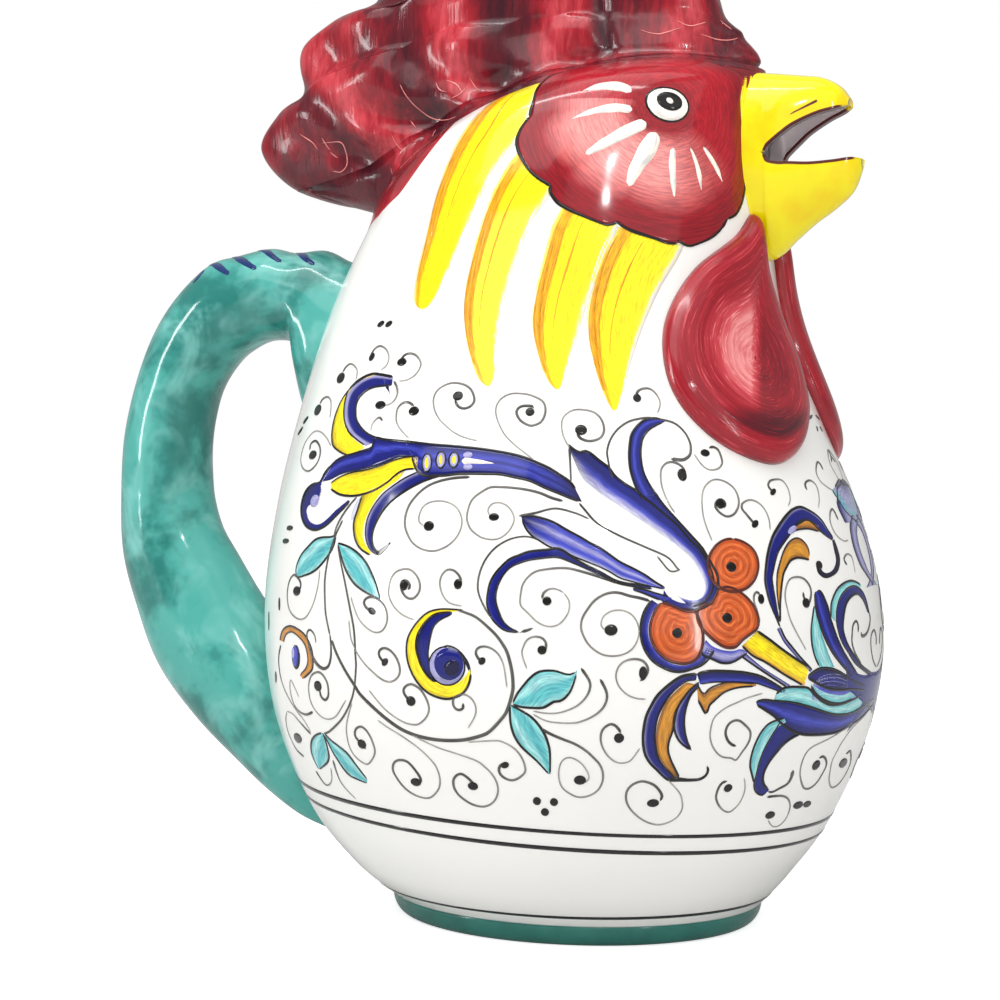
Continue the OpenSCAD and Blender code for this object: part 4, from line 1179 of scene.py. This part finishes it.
# Curls between the leaves and down to the rings
curls("""
611 630 13 10 0 | 650 601 640 598 630 596 620 593 612 592.5 603 595 594 601 587 610 582 619 581
628 584 637 589 645 596 651 604 655 614 656 624 654 632 649 637 641 639 631 637 622 632 615 625
611 617 610 609 612 603 617 601 625 605 630 /
547 601 9 8 0 | 542 599 543 594 547 590 553 588.5 559 590 564 593 /
| 618 583 597 576 572 569 560 568 548 569 537 571 529 576 523 584 521 592 520 600 521 606 526 611
531 616 536 621 543 625 551 626.5 559 624 565 618 569 610 569 601 564 593 /
542 650 9 8 0 | 540 654 545 650 546 643 542 638 535 636.5 528 639 524 645 522 654 527 669 /
643 673 8 12 0 | 640 681 645 677 648 670 646 664 641 660 633 659 625 661 619 666 616 674 617 682
621 689 628 695 637 698.5 646 699 /
619 738 10 9 0 | 621 733 617 727 611 724 604 728 601 734 601 742 604 750 609 757 616 762 623 763
631 760 640 748 /
653 803 12 8 0 | 660 801 662 796 659 790 654 785 647 782 640 781.5 632 785 627 791 626 799 629
807 635 814 643 820 651 823.5 660 824.5 669 822 677 817 682 809 682 800 679 792 668 780 /
728 788 8 8 0 | 727 781 722 783 718 789 716 797 718 804 723 810 729 812 735 808 740 802 744 793
745 785 744 778 /
| 736 746 731 744 727 739 725.5 732 728 725 733 721 739 720.5 745 725 750 731 750 738 747 745 742
752 736 760 731 758 723 757 717 753 712 745 710 736 711 727 714 718 721 711 729 706 738 702 747
698 763 693 /
| 581 668 589 680 590 688 586 697 578 705 568 710 557 713 545 713 533 711 /
| 600 679 605 688 607 695 606 702 602 709 595 715 585 720 573 723 552 722 542 719 533 714 /
580 780 12 9 0 | 541 728 545 731 555 736 565 740 575 744 585 750 593 757 600 765 603 774 602 783
597 791 588 796 578 797 569 793 562 787 559 778 559 769 562 761 568 757.5 575 759 582 764 587 771
589 778 585 783 /
404 585 8 10 0 | 408 590 410 586 407 581 403 581 401 586 403 593 408 598 414 598 419 592 420 584
417 576 411 570 404 569 396 572 391 579 389 588 389 596 393 605 399 612 407 617 414 619.5 /
458 584 8 9 0 | 455 588 460 587 461 580 458 574 453 570 447 570 442 575 440 582 441 590 444 597
450 603 462 606 /
297 591 7 9 0 | 299 592 301 585 299 579 295 575 293 575.5 290 580 288 588 287.5 598 289 608 293
615 299 619 305 618 310 611 314 602 317 591 319 580 320 570 /
372 611 8 6 -30 | 371 611 366 607 364 602 367 598 373 597 379 600 384 605 387 613 387 622 383 630
377 632.5 370 630 363 624 357 615 351 597 /
385 662 8 6 50 | 386 664 382 660 379 655 380 650 385 648 391 651 396 657 399 664 400 671 398 677
393 681 387 681.5 380 678 372 671 365 664 359 656 355 648 351 638 349 620 /
318 686 7 10 0 | 320 690 321 696 325 700 328 697 328.5 690 327 682 323 675 318 672 312 675 309
683 309 692 311 702 316 711 323 717.5 330 719 337 715 346 700 /
411 701 9 9 0 | 412 706 409 700 405 695 403.5 690 406 686 411 684 416 686 421 690 426 698 429 707
428 714 424 720 417 724.5 408 723.5 400 720 391 714 383 707 369 690 /
482 661 8 6 50 | 483 662 479 659 476 654 477 649 482 646.5 488 647 494 650 499 655 503 663 505
672 507 688 /
| 463 703 463 708 459 710 455 708 453 703 454 698 459 695 465 694.5 471 698 475 704 476 711 474
718 468 728 /
416 782 10 8 0 | 421 783 420 777 412 766 406 761 399 760 394 763 393 770 397 778 403 786 410 792
419 796.5 428 798 434 795 439 788 440 780 438 771 433 762 420 749 402 736 386 726 378 720 /
473 786 10 8 0 | 478 788 472 782 468 778 462 774 457 775 453.5 780 454 787 458 794 465 800 473
804.5 482 806.5 489 805 495 800 498 792 497 783 492 774 485 767 477 761 458 754 437 747 412 735 /
505 765 8 6 20 | 507 766 503 764 500 766 499 771 502 776 508 779.5 514 780 520 777 525 772 525
766 522 758 517 751 511 746 503 742 495 740.5 468 742 /
362 744 8 9 0 | 366 749 358 740 355 735 356 729 361 726.5 366 730 370 736 373 743 375 751 373 758
368 764 362 762 356 757 351 750 348 741 346.5 731 347 722 352 703 /
| 316 771 325 784 330 784 332 778 331 768 /
| 333 760 341 782 356 799 /
| 311 734 300 722 293 714 287 711 /
298 738 7 10 0 | 304 756.5 297 750 292 741 288 731 286 720 287 712 /
| 313 712 306 714.5 299 711 294 704 291 694 290 685 291 680 296 690 299 697 /
| 281 645 279 655 279 665 281 678 285 690 290 700 297 711 304 720 311 732""")
for x, y, length, width, angle in (
        (306, 420, 8, 5, 50), (300.5, 431, 9, 5, 55), (381, 324, 8, 6, 30), (389, 324, 8, 6, 30),
        (817.5, 417.5, 6, 3, -45), (821, 429, 6, 3, -60), (798, 805, 9, 8, 0), (807, 804, 7, 7, 0),
        (537, 801, 8, 8, 0), (545, 812, 8, 8, 0), (554, 802, 8, 8, 0), (290, 528, 6, 5, 0),
        (286, 541, 6, 5, 0), (279.5, 604, 13, 5, 90), (269, 621, 19, 5, 90),
        (276, 677, 11, 5, 90)):
    dot("upper_curls" if y < 590 else "lower_curls", x, y, length, width, angle)
# Stems and the thicker lines of the scrolls
strokes("scroll_lines", """
2 2.2 2 | 343 520 338 530 334 540 330 552 327 565 325 580 325 600 326 615 330 635 /
2.8 3.4 3.2 3 2.2 | 332 640 336 652 345 670 355 686 360 694 374 708 388 720 403 730 420 736.5 440
740 462 740 480 736 490 731 503 717 508 708 512.5 692 513 683 512 672 510 662 507 652 502 643 496
635 489 628 480 620 472 615 457 609.5 /
1.6 2.6 3.8 2.2 1.4 | 330 634 331 645 331 656 329 665 325 668.5 320 667 315 661 311 652 308 642
307 634 309 630 312 631 315 636 316 643 /
1.6 2.2 2 2.2 | 338 545 340 558 345 582 350 608 354 630 355.5 655 356 668 354 690 349 706 341 720
330 731 324 733.5 /
2 2.4 2 | 357 497 350 505 343 515 337 526 334 537 /
2.4 1.8 1.6 | 569.5 447 570 460 571 482 /
2 1.6 1.4 | 579 503 584 509 597 523 618 535 645 547 667 557 677 568 679 570 670 571 661 561 657
556 /
2.4 1.8 1.4 | 519 516 535 513 555 508.5 575 513 589 519 /
1.4 1.8 1.6 | 540 540 525 536.5 508 540 492 551 481 569 478 590 486 610 493 619 /
3 2 | 521 632 528 630 533 628 /
1.6 1.8 2 1.8 3.4 | 613 478 610 470 608 460 607 452 609 443 613 435 619 428 628 422 638 419 650
418 668 421 677 425 685 433 690 443 690.5 452 688 457 682 460 671 459 /
2 2.8 3.4 | 869 612 870 618 869 627 866 634 862 636 861 632 /
2.4 1.8 | 858 632 858 625 856 621 853 625 852 634 852 643 855 653 861 664 /
2.2 1.6 | 876 645 876 637 874 630 871 636 871 648 873 660 876 667 /
2 2.6 4.4 | 768 791 772 792 780 788 787 784 791 778 793 770""", tone=(0.95, 0.9))
paint()

# The leaves and berries of the scrollwork, from the handle's side round to the breast: every
# one is a few strokes of a full brush between two edges, then drawn round in ink.


def leaves(group, text, shared=""):
    """Draws each leaf of a text: its two edges, its colours across, the widths of the ink along
    each edge, its cover and the colours of its two ends, parted by bars, and a slash after
    each leaf. What comes last may be left out, or shared by all of them."""
    for entry in text.split("/"):
        edge_a, edge_b, *rest = (entry + shared).split("|")
        words = [part.split() for part in rest] + [[]] * 6
        ink_a, ink_b, cover = ([float(n) for n in part] or None for part in words[1:4])
        leaf(group, edge_a, edge_b, [PALETTE[word] for word in words[0]], cover or (2.0,),
             outline=(ink_a, ink_b),
             ends=[PALETTE[part[0]] if part else None for part in words[4:6]])


# Hooked leaf at the upper left, with its yellow back
leaves("cobalt_leaves", """
375 374 366 377 357 383 349 390 342 400 337 411 333.5 423 332 435 333 445 338 450.5 344 454 349
455.5
| 376 375 362 380 354 386 348 394 345 404 344 414 344.5 424 348 432 355 440 362 445 364 448 352
454
| olive yellow yellow yellow | 1.6 2.2 1.6 /
393 377 380 374.5 372 374 362 378 354 384 348 392 345 402 344 412 345 422 349 432 355 438 366 446
| 392 385 384 386 376 387 368 390 361 396 357 403 356 412 357 420 361 427 367 433 375 437 382 439
| lilac lilac cobalt cobalt cobalt deep | 3 2 1.4 | 1.6 1.6 /
384 378 386 380 388 382
| 386 388 389 392 390 395
| cobalt deep""")
# Main stem, from its pointed tip to the acanthus
leaves("cobalt_leaves", """
320 481 323 478 330 467 337 460 345 456 352 454 362 451 372 447 375 438 385 439.5 400 441 418 443
| 320 482 330 480 340 475 350 472 365 469 380 465 392 460 400 457 408 457 412 457 415 458 420 460
| deep cobalt violet cobalt cobalt deep | 1.8 2.2 /
405 441 430 444 460 446.5 490 450 520 456 545 466 557 473 570 482 577 492
| 412 457 420 474 440 476 460 474 485 474 500 474.5 515 477.5 530 481 545 488 560 494 572 499 582
502
| deep cobalt violet cobalt violet cobalt deep | 1.8 2.4 | 2.2 2 |  |  | night /
331 483 340 477 352 472.5 366 470 380 466 392 461 402 458 412 456.5 418 457
| 331 489 340 494.5 352 496 364 494 376 489.5 388 482 397 474 406 469.5 417 469
| olive yellow yellow yellow yellow | 1.4 1.6 | 2.4 2""")
# Curled tip and the two crescents that hang from the stem
leaves("cobalt_leaves", """
330 466 324 474 320 482 313 484 307 489 303 497 301 508 302 518 306 526 313 530 320 529 328 524
338 514 345 507 350 501
| 331 468 326 476 322 484 323 492 322 500 318 505 313 504 309 506 308 512 310 519 314 523 320 523
327 518 336 509 348 500
| deep cobalt cobalt | 1.8 2.2 |  | 1.2 1.2 0.1 /
362 496 357 512 354 522 354 532 356 541 361 549 370 555
| 405 471 398 480 388 487 380 494 372 506 366 518 363 530 364 541 371 553
| olive yellow yellow yellow | 2.2 2 /
418 472 405 478 393 486 383 494 375 504 369 515 366 526 366 538 370 549 378 555
| 440 476 430 479 418 484 404 492 392 501 383 511 377 521 373 531 372 540 374 548 379 553
| lilac cobalt cobalt deep | 1.6 1.6 | 1.8 2.2 /
373 553 379 555.5 384 552 388 547 391 543
| 372 551 378 551 382 548 386 545 390 542
| ink ink""")
# Acanthus: two upper plumes, then two lower ones in violet
leaves("cobalt_leaves", """
643 500 637 490 633 480 630 468 629 455 630 442 632 433 638 425 645 420 655 418 664 421
| 660 500 653 490 647 480 643 470 641 458 641 448 643 438 649 430 657 425 661 423 665 422
| deep cobalt violet cobalt cobalt deep | 1.6 2.4 1.8 | 1.6 1.6 /
567 444 578 452 585 451 590 453 600 461 609 468 615 476 625 484 635 490 643 497 652 504 664 514
677 525 690 540 700 550 708 563 713 577 712 590 706 600 698 605 690 607
| 568 446 573 458 578 470 584 480 592 487 602 495 615 503 630 513 645 523 655 530 665 537 680 548
690 557 698 568 702 576 705 585 704 593 699 599 690 600 680 597 676 594
| cobalt cobalt cobalt violet lilac pale_lilac | 2.4 2 |  | 2 2 2 2 1.4 0.4 | deep /
655 492 660 500 668 510 677 520 686 530 695 540 702 548 706 555 712 565 717 575 718 585 716 595
710 603 703 608 692 610 680 609 670 605 662 601
| 643 497 648 503 658 511 668 520 678 530 688 541 696 550 702 560 708 572 712 582 709 592 703 599
694 603 682 603 670 598 664 590
| deep cobalt cobalt cobalt | 1.8 2.8 2 /
521 516 532 516 545 519 555 523 567 530 580 537 590 543 600 548 610 555 620 562 632 568 645 575
655 582 665 588
| 522 519 525 527 531 535 540 541 550 547 560 550 575 557 590 563 600 567 610 572 620 578 630 581
645 585 664 589
| violet violet lilac violet violet pale_lilac | 2.2 2 | 1.6 1.2 |  | deep /
650 586 620 582 600 572 580 562 560 549 550 549.5 530 551.5 520 555 510 559 502 566 495 574 490
583 488 592 487 602 489 612 493 620 500 627 507 631 521 632.5
| 652 589 620 584 600 575 580 566 560 558 550 557.5 530 560 520 563 511 567 504 574 499 583 496
593 496 602 499 612 503 621 510 628 521 633
| violet cobalt cobalt deep | 2 2.4 1.6 | 1.4 1.6 /
633 588 645 590 655 593 672 598
| 633 590 640 592 650 596 662 601
| violet cobalt | 1.6 | 1.6""")
for x, y, high in ((427, 463, 20), (441, 460, 18), (454, 460, 17)):
    dot("stem_beads", x, y, high, 11, 90, lift=0.13)
    dot("stem_beads", x, y, high - 4, 8, 90, PALETTE["lilac"], lift=0.16)
    dot("stem_beads", x, y, high - 9, 3.6, 90, PALETTE["yellow"], lift=0.19)
line("stem_beads", "462 461 475 461.5 494 463.5", (7, 4, 1), CHALK, lift=0.14)
for x, y in ((468, 455), (468, 467)):
    dot("stem_beads", x, y, 9, 6, 0, PALETTE["lilac"], lift=0.14)
line("cobalt_shades", "362 499 356 509 351 521", (9, 7, 3), PALETTE["pale_lilac"], lift=0.05)
dot("cobalt_shades", 315, 501, 8, 12, 0, PALETTE["lilac"])
# The big scroll with its yellow rind, and the small brown one beside the handle
leaves("scroll_leaves", """
463 610 445 609 435 610 427 613 420 619 413 628 408 638 406.5 650 408 662 412 673 418 683 427 692
437 697 447 699 456 697 462 694 467 688 470 680 471 671
| 452 612 440 613 432 616 424 624 418 634 416 645 418 656 422 667 429 677 438 683 447 685 456 684
463 679 467 674 470 669
| olive yellow yellow yellow | 1.6 2.2 /
452 612 440 613 432 616 424 624 418 634 416 645 418 656 422 667 429 677 436 682
| 452 614 446 617 440 620 434 626 431 635 429 645 428 655 430 664 434 672 440 680
| deep cobalt cobalt | 2 2.4 | 1.4 /
471 671 469 663 464 655 458 649 451 645.5 445 645.5 436 651
| 469 672 466 665 462 659 456 654 450 651 445 651 438 655
| ink deep |  |  | 2 2 /
280 640 283 630 291 626 302 632 308 640 312 650 313 660 312 670 303 679
| 284 642 286 635 292 632 300 638 305 645 307 652 308 660 306 668 300 675
| brown ochre brown | 1.8 1.8 | 1.2""")
for x, y, length, width, angle, name, lift in (
        (447, 666, 37, 36, 0, "ink", 0.08), (447, 666, 34, 33, 0, "lilac", 0.11),
        (449, 664, 29, 29, 0, "cobalt", 0.14), (452, 668, 16, 14, 40, "deep", 0.17),
        (296, 657, 24, 17, 90, "ink", 0.10), (295.5, 656, 20, 13, 90, "violet", 0.13),
        (293.5, 653, 10, 6, 90, "lilac", 0.16)):
    dot("scroll_hearts", x, y, length, width, angle, PALETTE[name], lift=lift)
# Small turquoise leaves, in pairs where the stems fork
leaves("turquoise_leaves", """
336 535 331 537 322 537.5 315 540 308 547 302 554 298 562 296 570 297 576
| 336 536 334 545 330 553 325 560 318 568 311 573 303 576 300 577 297 577 /
338 543 347 546 354 550 361 556 367 564 372 574 376 584 380 598
| 338 544 341 555 344 565 348 574 354 583 361 589 369 594 380 599 /
513 703 517 694 523 686 530 678 538 672 547 670.5 556 671 565 674 573 674 577 670
| 513 704 522 707 540 708 547 706 553 702 560 701 566 697 571 690 574 682 577 672 /
510 705 510 715 511 725 514 735 520 745 528 753 536 760 549 774
| 511 705 520 710 530 716 538 724 544 733 548 743 550 754 550 774 /
322 733 316 735 312 740 311 748 313 757 319 769
| 323 733 326 742 328 750 329 757 327 763 320 769 /
325 734 332 741 340 747 348 754 354 762 360 770 367 779
| 325 736 329 744 333 752 338 760 344 769 351 776 367 783""",
       "| turquoise pale_turquoise turquoise turquoise pale_turquoise | 2 2.2 1.6 | 2 2.4 1.6")
# Three berries, brushed in arcs, in their blue cups
BERRY, BERRY_LIGHT, BERRY_LINE = fired(186, 78, 32), fired(226, 118, 62), fired(84, 34, 22)
for rim, centre in (
        ("733 539 745 543 754 551 758 563 756 576 749 586 739 591 727 591 716 585 709 574 708 561"
         " 713 549 722 541", (733, 565)),
        ("718 590 728 587 738 591 747 598 754 607 758 618 757 628 750 634 742 640 735 647 725 647"
         " 715 641 706 633 699 624 697 613 703 605 712 603", (729, 616)),
        ("661 603 672 606 685 611 695 612 699 620 702 630 703 640 701 650 697 658 688 663 678 663"
         " 668 660 659 653 653 644 650 633 651 622 655 611", (679, 631))):
    rim, t, place = disc(rim, centre, 90, 0.06, 24)
    ring_tone = 0.5 + 0.5 * np.sin(t * 26.0 + 0 * place[..., 0])
    layer("orange_berries", place, blend([BERRY, BERRY_LIGHT], ring_tone * 0.75), 0.09,
          closed=True)
    line("berry_lines", np.vstack([rim[::3], rim[:1]]), (2.4, 3.0, 2.4), BERRY_LINE,
         lift=0.13)
    dot("berry_lines", centre[0] - 2, centre[1] + 2, 10, 9, 0, lift=0.13)
leaves("breast_leaves", """
652 600 646 608 642 618 640.5 630 642 642 646 652 653 661 662 667 672 671 683 671.5 697 667 703
664 709 658 714 650
| 658 604 653 611 649 622 648 633 651 644 657 653 666 661 676 665 688 665 697 660 702 654 706 648
| cobalt cobalt violet | 2.2 2.6 /
706 640 712 646 722 650 733 651 741 649 747 652
| 700 650 704 656 712 659 722 663 733 662 747 653
| violet lilac cobalt |  | 2 2""")
# Yellow stem of the berries
leaves("breast_leaves", """
757 631 770 640 783 650 796 659 809 667
| 742 646 753 656 765 662 785 675 804 686
| olive yellow yellow ochre | 2.6 2.4 | 2 2 /
742 650 762 667 782 680 790 685
| 741 656 755 666 770 676 788 688
| cobalt lilac |  | 1.8""")
# Leaf behind the berries, blue outside and ochre inside
leaves("breast_leaves", """
780 627 775 615 770 603 767 592 765 580 766 565 768 552 772 538 778 527 785 517 792 510 800 507
808 510 816 515 822 521 827 529 833 538
| 779 622 776 605 772 580 773 572 775 562 778 552 783 544 788 537 793 530 797 525 802 522 806 520
811 522 815 526 820 531 825 535 832 540
| lilac cobalt cobalt cobalt deep | 1.8 3 2 | 1.6 /
795 526 800 521 806 520 812 522 818 526
| 790 533 797 530 803 529 810 529 820 532
| ochre brown | 1.4 | 1.8 /
779 610 777 592 777 575 780 562 784 550 790 541 797 538 803 541 808 548 809 556
| 780 622 780 606 781 590 783 575 786 568 790 561 796 558 801 558 806 559 809 560
| brown ochre ochre brown | 1.4 | 2.2 2.2 /
834 539 838 550 840 560 838 571 831 577 824 578 818 573 816 566
| 832 540 834 550 836 560 834 568 830 572 825 573 821 569 821 565
| ink deep /
780 627 785 638 792 647 800 657 812 670
| 777 629 783 641 790 650 799 660 810 672
| lilac cobalt | 2""")
# Grey-blue leaf at the far right
leaves("breast_leaves", """
835 487 839 480 843 483 849 488 853 496 857 505 862 521
| 832 490 835 495 838 499 843 508 847 513 852 518 858 522
| cobalt lilac turquoise | 2.4 2 | 1.6 /
852 515 850 525 851 535 853 545 857 557 862 568 873 585
| 858 517 857 530 858 540 861 552 866 565 870 574 877 585
| cobalt lilac cobalt | 2""")
# Palmette: its node, two petals up, and the wide ones under it
leaves("breast_leaves", """
812 686 822 676 838 674 852 680 866 684
| 812 700 825 703 842 704 852 700 864 696
| lilac violet lilac /
808 676 818 669 828 668 838 671 852 680 864 686
| 808 678 820 685 830 689 842 690 852 689 864 690
| deep cobalt deep | 2.4 | 2.4 /
815 592 815 600 816 612 819 622 823 634 828 645 834 655 841 664 852 677
| 817 591 821 592 825 600 828 608 830 617 833 626 838 640 846 656 858 676
| deep cobalt violet cobalt cobalt deep | 2.2 2 | 2.4 2 /
814 606 812 620 811 632 812 645 815 657 820 668
| 816 610 818 620 821 632 825 644 829 655 834 667
| turquoise pale_turquoise turquoise | 1.8 /
831 617 831 605 834 595 839 587 846 582 853 581 861 585
| 836 622 836 612 838 603 842 594 848 588 854 586 860 588
| turquoise pale_turquoise | 2 2.2 /
868 674 856 664 848 652 842 642 838 630 836 616 838 603 842 594 848 588 854 586 860 589 865 597
869 613
| 872 674 862 666 854 655 848 645 844 634 843 626 844 615 846 605 850 598 856 594 860 596 864 602
868 613
| cobalt cobalt deep | 1.8 | 2.2 1.8 /
776 694 782 689 790 687 800 687 808 688 812 692 820 700 830 705 842 704 852 700 862 694
| 774 700 782 701 790 702 798 703 805 705 818 709 830 713 842 714 852 712 862 706 870 698
| turquoise pale_turquoise turquoise | 2.4 2 | 1.4 /
811 684 820 690 830 694 842 695 850 692 858 690
| 811 686 815 693 822 699 832 703 842 703 852 699
| pale_turquoise turquoise |  | 2.8 2.4 /
756 702 762 700 768 700 775 701 790 702 805 706 818 710 830 714 842 715 854 712 864 706 873 698
| 757 705 765 710 775 717 782 724 792 731 803 734.5 815 735 828 734 840 731 852 724 863 716 874
702
| cobalt cobalt violet cobalt deep | 2.2 1.6 | 2.4 2.4 /
780 722 774 732 768 742 763 752 759 763 756 775 754 785 756 792 762 795 768 791
| 800 734 792 738 784 744 777 752 770 761 765 770 763 778 764 784 766 787 769 789
| cobalt cobalt deep | 1.8 | 2.4 2 /
784 718 770 723 762 731 756 742 752 753 750 765 752 775 754 783
| 786 722 778 727 771 736 765 747 760 758 757 770 755 778 755 784
| turquoise pale_turquoise | 2""")
# Leaf at the lower left of the palmette, blue and brown
leaves("breast_leaves", """
697 674 710 671 735 671.5 748 673 760 676 770 681 786 691
| 700 684 707 683 715 682 735 682 755 683 765 686 784 693
| deep cobalt violet | 2.6 2 | 1.4 /
697 684 703 694 706 692 710 688 720 684 730 682 745 683 756 684
| 698 700 706 714 709 706 715 700 723 693 732 689 742 687 756 686
| brown ochre brown | 1.4 | 2 1.8 /
697 674 683 676 674 681 665 688 657 696 651 706 646 717 643.5 730 643 742 645 754 650 763 657 770
664 777 670 781
| 696 680 687 681 678 687 670 695 664 704 659 714 656 725 655 738 656 748 658 757 662 764 667 770
672 775 676 780
| lilac cobalt cobalt deep | 3 2.6 2.2 | 1.4 /
694 684 686 683 677 690 670 697 664 706 660 716 657 727 656 740 657 752 662 762 669 771 676 780
| 695 686 690 690 684 697 679 705 676 714 674 724 672 733 669 741 668 750 670 758 674 767 680 779
| brown ochre ochre brown |  | 1.6 2 |  |  | umber /
699 682 690 690 683 699 677 709 674 718 674 727 676 735 681 743 692 751
| 699 686 692 693 688 701 685 712 684 722 685 733 687 741 689 746 692 751
| lilac cobalt cobalt | 2.2 2 | 2.2 2""")
line("breast_strokes", "668 779 680 779.5 690 780 700 779 706 775 708 770 707 766", (5, 3, 2.4))
dot("breast_strokes", 819, 565, 6, 8, 0)
dot("breast_strokes", 792, 530, 10, 6, 40, PALETTE["lilac"])
# The dark heart where the petals of the lower flower meet
leaf("lower_flower_heart", "846 663 852 670 859 674 866 675 873 672 878 672",
     "846 688 852 693 859 699 866 705 873 706 878 704", [PALETTE["cobalt"]], lift=0.10)
paint()

# The stage: a pale floor that ends in a white room, wide soft lights overhead, in front and on
# the beak's side, two tall narrow ones whose reflections run down the handle and the belly, and
# a small bright one that glints on the cheek.
FLOOR_WHITE, FLOOR_GLOW, ROOM, ROOM_LIGHT = (0.70, 0.70, 0.70, 1.0), 0.75, 1.0, 0.42
floor_mesh = bpy.data.meshes.new("floor")
floor_mesh.from_pydata([(-4, -4, 0), (4, -4, 0), (4, 4, 0), (-4, 4, 0)], [], [(0, 1, 2, 3)])
floor = bpy.data.objects.new("floor", floor_mesh)
bpy.context.scene.collection.objects.link(floor)
pale = bpy.data.materials.new("pale_floor")
pale.use_nodes = True
shader = pale.node_tree.nodes["Principled BSDF"]
for key, value in {"Base Color": FLOOR_WHITE, "Roughness": 0.7, "Emission Strength": 0.0,
                   "Emission Color": (1, 1, 1, 1)}.items():
    shader.inputs[key].default_value = value
in_view = pale.node_tree.nodes.new("ShaderNodeLightPath").outputs["Is Camera Ray"]
glow = Shade(pale, in_view) * FLOOR_GLOW
pale.node_tree.links.new(glow.socket, shader.inputs["Emission Strength"])
floor_mesh.materials.append(pale)

world = bpy.data.worlds.new("room")
world.use_nodes = True
air = world.node_tree.nodes["Background"]
air.inputs["Color"].default_value = (1, 1, 1, 1)
in_view = world.node_tree.nodes.new("ShaderNodeLightPath").outputs["Is Camera Ray"]
strength = Shade(world, in_view) * (ROOM - ROOM_LIGHT) + ROOM_LIGHT
world.node_tree.links.new(strength.socket, air.inputs["Strength"])
bpy.context.scene.world = world
bpy.context.scene.view_settings.view_transform = "Standard"
# name, place in metres, width and height, watts
for name, place, width, height, watts in (
        ("overhead", (-0.1, -0.3, 1.6), 1.4, 1.4, 8.0),
        ("crest_strip", (-0.1, -0.45, 1.35), 1.2, 0.05, 4.0),
        ("front", (-0.35, -0.75, 1.15), 0.9, 0.9, 5.0),
        ("beak_side", (0.85, -0.95, 0.85), 1.7, 1.6, 5.2),
        ("spark", (0.55, -0.97, 0.70), 0.05, 0.06, 1.3),
        ("right_strip", (1.07, -0.62, 0.27), 0.05, 0.5, 1.8),
        ("left_strip", (-1.0, -0.75, 0.35), 0.12, 0.5, 3.8)):
    lamp = bpy.data.objects.new(name, bpy.data.lights.new(name, "AREA"))
    lamp.data.shape, lamp.data.size, lamp.data.size_y = "RECTANGLE", width, height
    lamp.data.energy = watts
    lamp.visible_camera = False
    lamp.location = place
    lamp.rotation_mode = "QUATERNION"
    lamp.rotation_quaternion = (Vector((0, 0, 0.11)) - Vector(place)).to_track_quat("-Z", "Y")
    bpy.context.scene.collection.objects.link(lamp)
